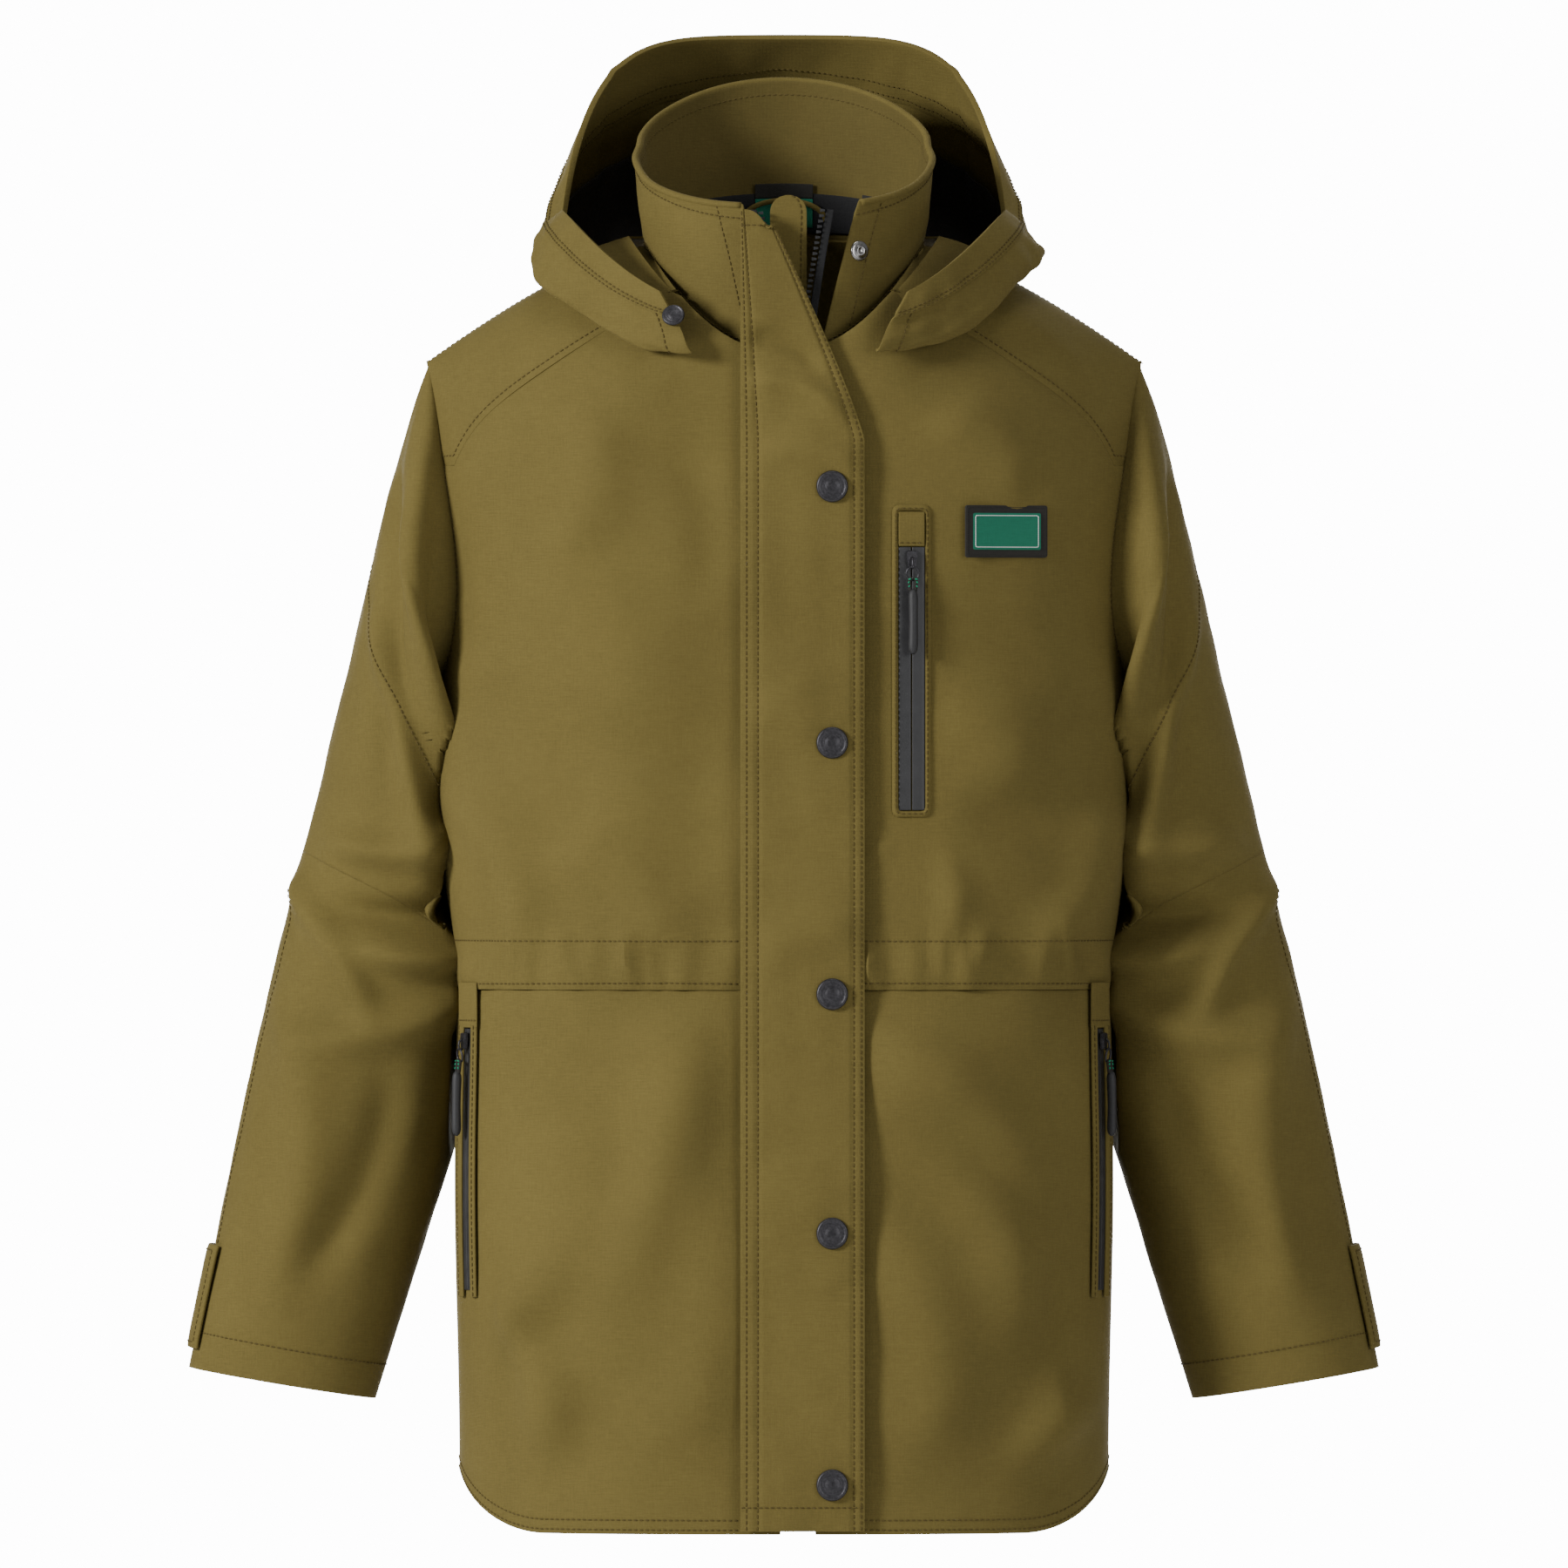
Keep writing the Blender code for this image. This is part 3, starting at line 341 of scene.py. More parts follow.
def tubeAlong(name, path, radius, finish, bodyName, sides=10, profile=None, replaces=()):
    # a ring carried along the path; the radius may change along it; both ends closed
    path = np.asarray(path, float)
    run = np.gradient(path, axis=0)
    run /= np.linalg.norm(run, axis=1, keepdims=True)
    hint = np.array([0.0, -1.0, 0.0]) if abs(run[:, 1]).mean() < 0.8 else np.array([1.0, 0, 0])
    side = np.cross(run, hint)
    side /= np.linalg.norm(side, axis=1, keepdims=True)
    up = np.cross(side, run)
    angle = np.arange(sides) * 2 * math.pi / sides
    size = radius * np.ones(len(path)) if profile is None else radius * np.asarray(profile)
    ring = (side[:, None] * np.cos(angle)[None, :, None] + up[:, None] * np.sin(angle)[None, :,
                                                                                       None])
    points = (path[:, None] + ring * size[:, None, None]).reshape(-1, 3)
    faces = [[r * sides + (k + 1) % sides, r * sides + k, (r + 1) * sides + k,
              (r + 1) * sides + (k + 1) % sides] for r in range(len(path)
                                                                - 1) for k in range(sides)]
    faces += [list(range(sides)), [(len(path) - 1) * sides + k for k in reversed(range(sides))]]
    return rawMesh(name, points, faces, finish, bodyName, replaces=replaces)


def fixOutward(piece):
    net = bmesh.new()
    net.from_mesh(piece.data)
    bmesh.ops.recalc_face_normals(net, faces=net.faces)
    net.to_mesh(piece.data)
    net.free()
    return piece


# materials
def nodeGroup(name, inputs, outputs):
    group = bpy.data.node_groups.new(name, "ShaderNodeTree")
    for label, value in inputs:
        socket = group.interface.new_socket(label, in_out="INPUT", socket_type="NodeSocketFloat")
        socket.default_value = value
    for label, kind in outputs:
        group.interface.new_socket(label, in_out="OUTPUT", socket_type=kind)
    return group, group.nodes.new("NodeGroupInput"), group.nodes.new("NodeGroupOutput")


def mathNode(tree, operation, a, b=None, c=None):
    node = tree.nodes.new("ShaderNodeMath")
    node.operation = operation
    for socket, value in zip(node.inputs, (a, b, c)):
        if value is None:
            continue
        if isinstance(value, (int, float)):
            socket.default_value = value
        else:
            tree.links.new(value, socket)
    return node.outputs[0]


def noiseNode(tree, vector, scale, detail=3.0, roughness=0.6, stretch=None):
    if stretch:
        mapping = tree.nodes.new("ShaderNodeMapping")
        mapping.inputs["Scale"].default_value = stretch
        tree.links.new(vector, mapping.inputs["Vector"])
        vector = mapping.outputs["Vector"]
    noise = tree.nodes.new("ShaderNodeTexNoise")
    noise.inputs["Scale"].default_value = scale
    noise.inputs["Detail"].default_value = detail
    noise.inputs["Roughness"].default_value = roughness
    tree.links.new(vector, noise.inputs["Vector"])
    return noise.outputs["Fac"]


def buildWeaveGroup():
    # plain weave: fine yarns both ways with slubs, a cloudy shade, and brushed fuzz
    group, start, end = nodeGroup("plainWeave", [("Yarns per metre", 1500.0), ("Slub", 0.5)],
                                  [("Shade", "NodeSocketFloat"), ("Height", "NodeSocketFloat")])
    place = group.nodes.new("ShaderNodeTexCoord").outputs["Object"]
    split = group.nodes.new("ShaderNodeSeparateXYZ")
    group.links.new(place, split.inputs[0])
    turns = mathNode(group, "MULTIPLY", start.outputs[0], 2 * math.pi)
    wobble = noiseNode(group, place, 60.0, 2.0)
    shift = mathNode(group, "MULTIPLY", wobble, 2.5)
    warp = mathNode(group, "SINE", mathNode(group, "MULTIPLY_ADD", split.outputs["X"], turns,
                                            shift))
    weft = mathNode(group, "SINE", mathNode(group, "MULTIPLY_ADD", split.outputs["Z"], turns,
                                            shift))
    yarns = mathNode(group, "MULTIPLY_ADD", mathNode(group, "ADD", warp, weft), 0.25, 0.5)
    across = noiseNode(group, place, 1.0, 3.0, 0.65, (140.0, 140.0, 2600.0))
    upright = noiseNode(group, place, 1.0, 2.0, 0.6, (2200.0, 300.0, 160.0))
    cloud = noiseNode(group, place, 9.0, 4.0, 0.6)
    fuzz = noiseNode(group, place, 900.0, 2.0, 0.7)
    slubs = mathNode(group, "MULTIPLY_ADD", across, 0.62, mathNode(group, "MULTIPLY", upright,
                                                                   0.38))
    slubs = mathNode(group, "MULTIPLY", slubs, start.outputs[1])
    shade = mathNode(group, "ADD", slubs, mathNode(group, "MULTIPLY", cloud, 0.30))
    shade = mathNode(group, "MULTIPLY_ADD", yarns, 0.10, shade)
    shade = mathNode(group, "MULTIPLY_ADD", fuzz, 0.14, shade)
    group.links.new(shade, end.inputs[0])
    height = mathNode(group, "MULTIPLY_ADD", yarns, 0.6, mathNode(group, "MULTIPLY", across, 0.6))
    group.links.new(mathNode(group, "MULTIPLY_ADD", fuzz, 0.5, height), end.inputs[1])
    return group


weaveGroup = buildWeaveGroup()


def newMaterial(name, colour, roughness, metallic=0.0):
    material = bpy.data.materials.new(name)
    material.use_nodes = True
    shader = material.node_tree.nodes["Principled BSDF"]
    shader.inputs["Base Color"].default_value = (*colour, 1)
    shader.inputs["Roughness"].default_value = roughness
    shader.inputs["Metallic"].default_value = metallic
    return material, material.node_tree, shader


def rampBetween(tree, value, low, high, dark, light):
    ramp = tree.nodes.new("ShaderNodeValToRGB")
    ramp.color_ramp.elements[0].position = low
    ramp.color_ramp.elements[0].color = (*dark, 1)
    ramp.color_ramp.elements[1].position = high
    ramp.color_ramp.elements[1].color = (*light, 1)
    tree.links.new(value, ramp.inputs["Fac"])
    return ramp.outputs["Color"]


def bumpInto(tree, shader, height, strength, distance):
    bump = tree.nodes.new("ShaderNodeBump")
    bump.inputs["Strength"].default_value = strength
    bump.inputs["Distance"].default_value = distance
    tree.links.new(height, bump.inputs["Height"])
    tree.links.new(bump.outputs["Normal"], shader.inputs["Normal"])


def clothMaterial(name, dark, light, yarns=1500.0, slub=0.5, roughness=0.88, sheen=0.06,
                  strength=0.35):
    material, tree, shader = newMaterial(name, light, roughness)
    weave = tree.nodes.new("ShaderNodeGroup")
    weave.node_tree = weaveGroup
    weave.inputs[0].default_value = yarns
    weave.inputs[1].default_value = slub
    colour = rampBetween(tree, weave.outputs["Shade"], 0.30, 0.78, dark, light)
    tree.links.new(colour, shader.inputs["Base Color"])
    shader.inputs["Sheen Weight"].default_value = sheen
    shader.inputs["Sheen Roughness"].default_value = 0.5
    shader.inputs["Sheen Tint"].default_value = (*[min(1.0, c * 3) for c in light], 1)
    shader.inputs["Specular IOR Level"].default_value = 0.25
    bumpInto(tree, shader, weave.outputs["Height"], strength, 0.0004)
    return material


def mottledMaterial(name, colour, roughness, metallic=0.0, spread=0.25, grain=300.0, bump=0.15):
    # moulded plastic, rubber and plated metal: slight mottling in shade and roughness, fine grain
    material, tree, shader = newMaterial(name, colour, roughness, metallic)
    place = tree.nodes.new("ShaderNodeTexCoord").outputs["Object"]
    cloud = noiseNode(tree, place, grain, 4.0)
    dark = [c * (1 - spread) for c in colour]
    light = [min(1.0, c * (1 + spread)) for c in colour]
    tree.links.new(rampBetween(tree, cloud, 0.3, 0.7, dark, light), shader.inputs["Base Color"])
    rough = mathNode(tree, "MULTIPLY_ADD", cloud, 0.25, roughness - 0.12)
    tree.links.new(rough, shader.inputs["Roughness"])
    bumpInto(tree, shader, noiseNode(tree, place, grain * 8, 2.0), bump, 0.00015)
    return material


olive = clothMaterial("oliveCloth", (0.086, 0.0650, 0.0140), (0.180, 0.1390, 0.0365))
# a darker copy of the olive cloth for the collar's facing and the waist casing: painted shade, the
# same cloth coloured as if in shadow inside the jacket
oliveDarkenedForShade = clothMaterial("oliveFacingPaintedShade", (0.066, 0.0490, 0.0105), (0.138, 0.1060, 0.0275))
stitchThread = clothMaterial("oliveThread", (0.060, 0.043, 0.010), (0.120, 0.088, 0.024), 3000.0)
liningCloth = clothMaterial("blackLining", (0.016, 0.015, 0.015), (0.055, 0.051, 0.050), 2200.0,
                            0.35, 0.34, 0.0, 0.5)
tapeCloth = clothMaterial("blackTape", (0.006, 0.006, 0.0065), (0.020, 0.020, 0.021), 1800.0,
                          0.6, 0.8, 0.1, 0.6)
zipPlastic = mottledMaterial("zipPlastic", (0.020, 0.020, 0.021), 0.42)
zipCoated = mottledMaterial("coatedTape", (0.024, 0.024, 0.025), 0.52, 0.0, 0.2, 120.0)
gunmetal = mottledMaterial("gunmetal", (0.052, 0.050, 0.055), 0.42, 0.75, 0.3, 700.0, 0.3)
silver = mottledMaterial("silverMetal", (0.42, 0.41, 0.40), 0.28, 1.0)
rubber = mottledMaterial("rubberSleeve", (0.018, 0.018, 0.019), 0.62, 0.0, 0.25, 500.0, 0.3)
greenFleck = clothMaterial("greenFleck", (0.010, 0.20, 0.10), (0.02, 0.34, 0.17), 3000.0)
badgeBlack = clothMaterial("badgeEdge", (0.014, 0.013, 0.012), (0.036, 0.033, 0.028), 2400.0, 0.5)
badgeGreen = clothMaterial("badgeField", (0.008, 0.115, 0.066), (0.016, 0.185, 0.110), 2400.0, 0.5)
badgePale = clothMaterial("badgeThread", (0.62, 0.62, 0.60), (0.85, 0.85, 0.83), 2400.0, 0.4)
print("materials made")


# the body: panels, folds and topstitching
stitchLift = 0.0002


def outNormals(points, centre=(0, 0, 0.4)):
    normals = gridNormals(points)
    sign = np.sign(np.sum(normals * (points - np.asarray(centre))))
    return normals * (sign if sign else 1)


def gridRow(points, share):
    at = share * (points.shape[0] - 1)
    low = int(min(math.floor(at), points.shape[0] - 2))
    return points[low] * (1 - (at - low)) + points[low + 1] * (at - low)


def gridColumn(points, share):
    return gridRow(np.swapaxes(points, 0, 1), share)


def sewAlong(name, grid, bodyName, row=None, column=None, centre=(0, 0, 0.4)):
    # a stitched line on a grid: at a share of its rows or of its columns
    normals = outNormals(grid, centre)
    if row is not None:
        path, up = gridRow(grid, row), gridRow(normals, row)
    else:
        path, up = gridColumn(grid, column), gridColumn(normals, column)
    return stitchRow(name, path + up * stitchLift, up, bodyName)


# how far a hollow may sink, in metres
deepest = 0.0065
# the gathers: how far above the waist seam, how tall, how high they stand and how many there are
gathers = {"above": 0.015, "tall": 0.015, "height": 0.0026, "count": 46}
casingTop = waistZ + 0.028
# flat bands under the zips: their place across, their lowest and their highest point
zipBands = ((0.073, 0.345, 0.60), (0.178, 0.09, 0.30), (-0.178, 0.09, 0.30))
frontFolds = {
    "panelRight": [(-0.185, 0.480, -0.120, 0.400, 0.020, -0.0045), (-0.190, 0.430, -0.150, 0.330,
                                                                    0.015, 0.0035),
                   (-0.150, 0.560, -0.060, 0.430, 0.034, 0.0030), (-0.105, 0.640, -0.125, 0.560,
                                                                   0.018, 0.0022),
                   (-0.080, 0.470, -0.040, 0.380, 0.028, -0.0024), (-0.130, 0.400, -0.060, 0.335,
                                                                    0.020, 0.0024),
                   (-0.060, 0.620, -0.040, 0.540, 0.014, -0.0016)],
    "panelLeft": [(0.185, 0.470, 0.120, 0.400, 0.020, -0.0042), (0.188, 0.420, 0.150, 0.335, 0.014,
                                                                 0.0036),
                  (0.060, 0.400, 0.100, 0.345, 0.016, 0.0030), (0.100, 0.480, 0.150, 0.400, 0.024,
                                                                0.0026),
                  (0.090, 0.640, 0.140, 0.600, 0.018, 0.0020), (0.052, 0.395, 0.085, 0.372, 0.007,
                                                                0.0016)],
    "skirtRight": [(-0.050, 0.290, -0.155, 0.115, 0.028, 0.0062), (-0.085, 0.235, -0.175, 0.080,
                                                                   0.020, -0.0045),
                   (-0.175, 0.140, -0.130, 0.045, 0.016, 0.0050), (-0.030, 0.200, -0.060, 0.050,
                                                                   0.026, 0.0030),
                   (-0.168, 0.120, -0.185, 0.085, 0.008, 0.0030)],
    "skirtLeft": [(0.055, 0.290, 0.150, 0.120, 0.028, 0.0064), (0.085, 0.245, 0.172, 0.090, 0.018,
                                                                -0.0046),
                  (0.175, 0.150, 0.140, 0.040, 0.016, 0.0050), (0.062, 0.180, 0.085, 0.040, 0.024,
                                                                0.0030),
                  (0.165, 0.125, 0.182, 0.085, 0.008, 0.0030)],
}


def puckers(x, z, seed):
    # short upright gathers along the waist casing, uneven in size
    random = np.random.default_rng(seed)
    level, tall, height = waistZ + gathers["above"], gathers["tall"], gathers["height"]
    total = np.zeros_like(x)
    for _ in range(gathers["count"]):
        at, wide = random.uniform(-0.185, 0.185), random.uniform(0.0034, 0.0080)
        size, tilt = random.uniform(0.3, 1.0) * height, random.uniform(-0.25, 0.25)
        middle = level + random.uniform(-0.006, 0.006)
        total = total + size * np.exp(-((x - at - (z - middle) * tilt) / wide) ** 2
                                      - ((z - middle) / tall) ** 2)
    return total


def bodyPiece(name, side, patch, folds, seed, front, edges, replaced):
    grid, u, v = patch
    grid = grid * np.array([side, 1, 1])
    normals = outNormals(grid)
    x, z = grid[..., 0], grid[..., 2]
    field = foldField(grid, folds, seed)
    near = 1 - np.exp(-(x / 0.012) ** 2) if front else 1.0
    across = np.linalg.norm(np.diff(grid, axis=1), axis=-1).sum(1)[:, None]
    along = np.linalg.norm(np.diff(grid, axis=0), axis=-1).sum(0)[None, :]
    reach = {"inner": u * across, "outer": (1 - u) * across, "low": v * along, "high": (1 - v)
             * along}
    quiet = 1.0
    for edge in ("inner", "outer", "low", "high"):
        quiet = quiet * smoothStep(-0.004, 0.075 if edge == "outer" else 0.030, reach[edge])
    field = field * np.maximum(quiet, 0.12) * near
    gather = puckers(x, z, seed) if "waist" in edges else 0.0
    gather = gather * smoothStep(0.0, 0.02, reach["inner"]) * smoothStep(0.0, 0.012, reach["outer"])
    # flat under the zips, so that their pullers run clear of the cloth
    for zipAt, low, high in zipBands:
        inBand = smoothStep(low - 0.03, low, z) * (1 - smoothStep(high, high + 0.02,
                                                                  z)) if front else 0.0
        field = field * (1 - 0.9 * np.exp(-((x - zipAt) / 0.020) ** 4) * inBand)
    # hollows are shallower than ridges, so that the lining stays covered
    field = np.where(field < 0, -deepest * np.tanh(-field / deepest), field)
    for edge in edges:
        if edge != "waist":
            field = field + seamDip(reach[edge])
    grid = grid + normals * (field + gather)[..., None]
    solidSheet(name, grid, olive, "torso", replaced)
    return grid


zipX = 0.008
zipHalf = 0.010
grids = {}
for label, side, edge in (("right", -1, zipHalf - zipX), ("left", 1, zipX + zipHalf)):
    key = label.capitalize()
    inner = constant(phiOf(edge))
    patch = bodyGrid(inner, armPhi, constant(waistZ), lambda x: np.minimum(frontNeck(x), raglan(x)),
                     True, 110, 80)
    grids["panel" + key] = bodyPiece("front" + key + "Panel", side, patch,
                                     frontFolds["panel" + key],
                                     3 + side, True, ("outer", "low", "high", "waist"),
                                     ("front_panel_" + label,))
    patch = bodyGrid(inner, constant(sidePhi), hemLine, constant(waistZ), True, 90, 80)
    grids["skirt" + key] = bodyPiece("front" + key + "Skirt", side, patch,
                                     frontFolds["skirt" + key],
                                     8 + side, True, ("outer", "high"), ("front_skirt_" + label,))
    patch = bodyGrid(lambda z: phiOf(np.full_like(z, 0.062), 0.66), armPhi, raglan, frontNeck,
                     True, 44, 60)
    grids["yoke" + key] = bodyPiece("shoulder" + key + "Yoke", side, patch,
                                    [(side * 0.11, 0.700, side * 0.17, 0.655, 0.014, 0.0016)],
                                    13 + side, True,
                                    ("outer", "low"), ("shoulder_yoke_" + label,))


def wholeBack(patch):
    # the back's half grid and its mirror image, joined at the middle column
    half = patch[0]
    return np.concatenate([(half * np.array([-1, 1, 1]))[:, :0:-1], half], axis=1)


backFolds = {"panel": [(-0.12, 0.60, -0.03, 0.42, 0.030, 0.0040), (0.13, 0.58, 0.05, 0.40, 0.030,
                                                                   0.0042),
                       (-0.16, 0.46, -0.09, 0.36, 0.018, 0.0036), (0.165, 0.47, 0.10, 0.35, 0.018,
                                                                   -0.0034),
                       (0.0, 0.66, 0.01, 0.50, 0.040, 0.0022)],
             "skirt": [(-0.11, 0.29, -0.14, 0.06, 0.026, 0.0056), (0.10, 0.29, 0.13, 0.06, 0.028,
                                                                   0.0058),
                       (-0.02, 0.28, -0.03, 0.05, 0.030, -0.0036), (0.04, 0.22, 0.05, 0.02, 0.022,
                                                                    0.0030)]}
for name, outer, low, high, folds, replaced, edges in (
        ("backPanel", armPhi, constant(waistZ),
         lambda x: np.where(np.abs(x) < body["neckHalf"], backNeck(x), 1.0), backFolds["panel"],
         "back_panel", True),
        ("backSkirt", constant(sidePhi), hemLine, constant(waistZ), backFolds["skirt"],
         "back_skirt",
         False)):
    patch = bodyGrid(constant(0.0), outer, low, high, False, 110, 80)
    grid = wholeBack(patch)
    normals = outNormals(grid)
    v = np.linspace(0, 1, grid.shape[0])[:, None]
    u = np.abs(np.linspace(-1, 1, grid.shape[1]))[None, :]
    quiet = smoothStep(0, 0.10, v) * smoothStep(0, 0.12, 1 - v) * smoothStep(0, 0.10, 1 - u)
    field = foldField(grid, folds, 31, 0.0012) * np.maximum(quiet, 0.1)
    if edges:
        field = field + puckers(grid[..., 0], grid[..., 2], 5) \
            * smoothStep(0, 0.03, 1 - u) + seamDip(v * 0.43)
    else:
        field = field + seamDip((1 - v) * 0.31)
    grid = grid + normals * field[..., None]
    grids[name] = grid
    solidSheet(name, grid, olive, "torso", (replaced,))


def levelPath(grid, level):
    # the line on a grid at one height, column by column, with the cloth's directions there
    normals = outNormals(grid)
    path, up = [], []
    for column in range(grid.shape[1]):
        z = grid[:, column, 2]
        if z.min() < level < z.max():
            at = np.interp(level, z, np.arange(len(z)))
            path.append(gridRow(grid[:, column:column + 1], at / (len(z) - 1))[0])
            up.append(gridRow(normals[:, column:column + 1], at / (len(z) - 1))[0])
    return np.array(path), np.array(up)


for key in ("Right", "Left"):
    path, up = levelPath(grids["panel" + key], casingTop)
    stitchRow("casingStitch" + key, path + up * stitchLift, up, "torso")
    sewAlong("waistStitch" + key, grids["panel" + key], "torso", row=0.010)
    sewAlong("raglanStitch" + key, grids["yoke" + key], "torso", row=0.045)
    sewAlong("hemStitch" + key, grids["skirt" + key], "torso", row=0.026)
    sewAlong("hemStitchLow" + key, grids["skirt" + key], "torso", row=0.008)
    sewAlong("armholeStitch" + key, grids["panel" + key], "torso", column=0.965)
path, up = levelPath(grids["backPanel"], casingTop)
stitchRow("casingStitchBack", path + up * stitchLift, up, "torso")
sewAlong("waistStitchBack", grids["backPanel"], "torso", row=0.010)
sewAlong("hemStitchBack", grids["backSkirt"], "torso", row=0.026)
sewAlong("collarSeamBack", grids["backPanel"], "torso", row=0.990)
print("body made")


# sleeves
# bends: where the cloth begins and stops turning at the shoulder and the elbow, as x and z
sleeve = {"reach": 0.1375, "drop": 0.5795, "cuffWidth": 0.108, "cuffDepth": 0.100, "elbow": 0.52,
          "clear": 0.003, "length": 0.60, "radius": 0.065, "shoulder": ((0.197, 0.500),
                                                                        (0.254, 0.398)),
          "elbowBend": ((0.241, 0.345), (0.262, 0.290))}
tab = {"along": (0.905, 0.985), "turn": (-38, 24), "rows": 22, "columns": 34, "stand": 0.0040,
       "thick": 0.0022}
underarm = armTop - body["armholeTall"]


def smoothKeys(values, places, wanted):
    # Catmull-Rom curve through the values at the places
    values = np.asarray(values, float)
    slopes = np.gradient(values, places)
    index = np.clip(np.searchsorted(places, wanted) - 1, 0, len(places) - 2)
    width = places[index + 1] - places[index]
    t = (wanted - places[index]) / width
    return ((2 * t ** 3 - 3 * t ** 2 + 1) * values[index] + (t ** 3 - 2 * t ** 2 + t) * width
            * slopes[index] + (3 * t ** 2 - 2 * t ** 3) * values[index + 1]
            + (t ** 3 - t ** 2) * width * slopes[index + 1])


def sleevePoint(along, turn, grow=0.0):
    # left sleeve: an oval tube from the armhole (along 0) to the cuff (1); turn 0 is its outer edge
    cuffX = body["shoulderX"] + sleeve["reach"]
    cuffZ = armTop - sleeve["drop"]
    half = body["half"]
    place = np.array([0.0, 0.10, 0.20, 0.32, 0.45, 0.58, 0.72, 0.86, 1.0])
    keys = ([half + 0.006, half + 0.0115, half + 0.005, half - 0.010, half - 0.018, half - 0.018,
             half - 0.006, half + 0.019, cuffX - sleeve["cuffWidth"]],
            [body["shoulderX"], 0.2205, 0.2335, 0.2490, 0.2685, 0.2860, 0.3045, 0.3225, cuffX],
            [underarm, underarm - 0.004, underarm - 0.028, 0.410, 0.360, 0.310, 0.250, 0.170,
             cuffZ - 0.018],
            [armTop, 0.625, 0.575, 0.510, 0.428, 0.358, 0.282, 0.195, cuffZ],
            [0.062, 0.067, 0.072, 0.074, 0.074, 0.072, 0.067, 0.060, sleeve["cuffDepth"] / 2],
            [0.0, 0.004, 0.014, 0.028, 0.036, 0.036, 0.030, 0.022, 0.015])
    ix, ox, iz, oz, deep, my = (smoothKeys(values, place, along) for values in keys)
    sine = np.sign(np.sin(turn)) * np.abs(np.sin(turn)) ** 0.9
    stretch = 1 + 2 * grow / np.hypot(ox - ix, oz - iz)
    x = (ix + ox) / 2 + (ox - ix) / 2 * np.cos(turn) * stretch
    z = (iz + oz) / 2 + (oz - iz) / 2 * np.cos(turn) * stretch
    y = my - (deep + grow) * sine
    holeZ = armMid + body["armholeTall"] / 2 * np.cos(turn)
    hole = np.where((np.sin(turn) > 0)[..., None], bodyPoint(armPhi(holeZ), holeZ, True),
                    bodyPoint(armPhi(holeZ), holeZ, False)) + np.array([-0.0016, 0.0, 0.0])
    mix = smoothStep(0, 0.12, along)[..., None]
    points = hole * (1 - mix) + np.stack([x, y, z], -1) * mix
    x, y, z = points[..., 0], points[..., 1], points[..., 2]
    share = np.clip(np.abs(y) / np.where(y < 0, depthAt(z, True), depthAt(z, False)), 0, 1)
    r = body["round"]
    beside = halfWidth(z) * np.clip(1 - share ** (2 / r), 0, 1) ** (r / 2)
    keep = np.where(mix[..., 0] > 0.99, beside + sleeve["clear"], 0.18)
    points[..., 0] = np.where((share < 1) & (z < armTop), np.maximum(x, np.minimum(keep, x + 0.05)),
                              x)
    return points


# folds in metres along the sleeve and round it: (along, round) to (along, round), width, height
sleeveFolds = [
    (0.04, 0.060, 0.20, 0.150, 0.020, 0.0045), (0.07, 0.020, 0.24, 0.085, 0.016, -0.0030),
    (0.16, 0.050, 0.29, 0.120, 0.014, 0.0042), (0.22, 0.150, 0.30, 0.050, 0.012, 0.0048),
    (0.25, 0.180, 0.34, 0.060, 0.011, -0.0042), (0.29, 0.190, 0.36, 0.080, 0.012, 0.0050),
    (0.33, 0.010, 0.40, 0.100, 0.011, 0.0036), (0.34, 0.170, 0.43, 0.060, 0.013, 0.0034),
    (0.40, 0.040, 0.56, 0.085, 0.018, 0.0036), (0.43, 0.120, 0.55, 0.100, 0.015, -0.0026),
    (0.10, 0.330, 0.28, 0.280, 0.020, 0.0042), (0.30, 0.350, 0.44, 0.300, 0.020, 0.0040),
    (0.27, 0.250, 0.38, 0.330, 0.013, 0.0046)]


def sleeveField(along, turn, seed):
    a = along * sleeve["length"]
    b = np.mod(turn, 2 * math.pi) * sleeve["radius"]
    total = 0.0012 * ripple(a, 0.09 * np.cos(turn), seed,
                            0.12) + 0.0006 * ripple(a, 0.09 * np.sin(turn), seed + 3, 0.05)
    for fold in sleeveFolds:
        for lap in (-1, 0, 1):
            total = total + ridge(a, b + lap * 2 * math.pi * sleeve["radius"], fold)
    hold = smoothStep(0.0, 0.08, along) * (1 - 0.8 * smoothStep(0.90, 0.975, along))
    return total * hold


def onSleeve(along, turn, seed, side, lift=0.0):
    # a point on the finished, folded sleeve
    along, turn = np.atleast_2d(along), np.atleast_2d(turn)
    e = 0.004
    here = sleevePoint(along, turn)
    du = sleevePoint(along, turn + e) - sleevePoint(along, turn - e)
    dv = sleevePoint(np.minimum(along + e, 1), turn) - sleevePoint(np.maximum(along - e, 0), turn)
    normal = np.cross(du, dv)
    normal /= np.linalg.norm(normal, axis=-1, keepdims=True) + 1e-12
    centre = (sleevePoint(along, turn * 0) + sleevePoint(along, turn * 0 + math.pi)) / 2
    normal *= np.where(np.sum(normal * (here - centre), -1, keepdims=True) < 0, -1, 1)
    flip = np.array([side, 1, 1])
    return (here + normal * (sleeveField(along, turn, seed) + lift)[...,
                                                                    None]) * flip, normal * flip


def sleeveStitch(name, along, turn, seed, side, bodyName):
    points, normals = onSleeve(np.asarray(along), np.asarray(turn), seed, side, 0.0003)
    return stitchRow(name, points[0], normals[0], bodyName)


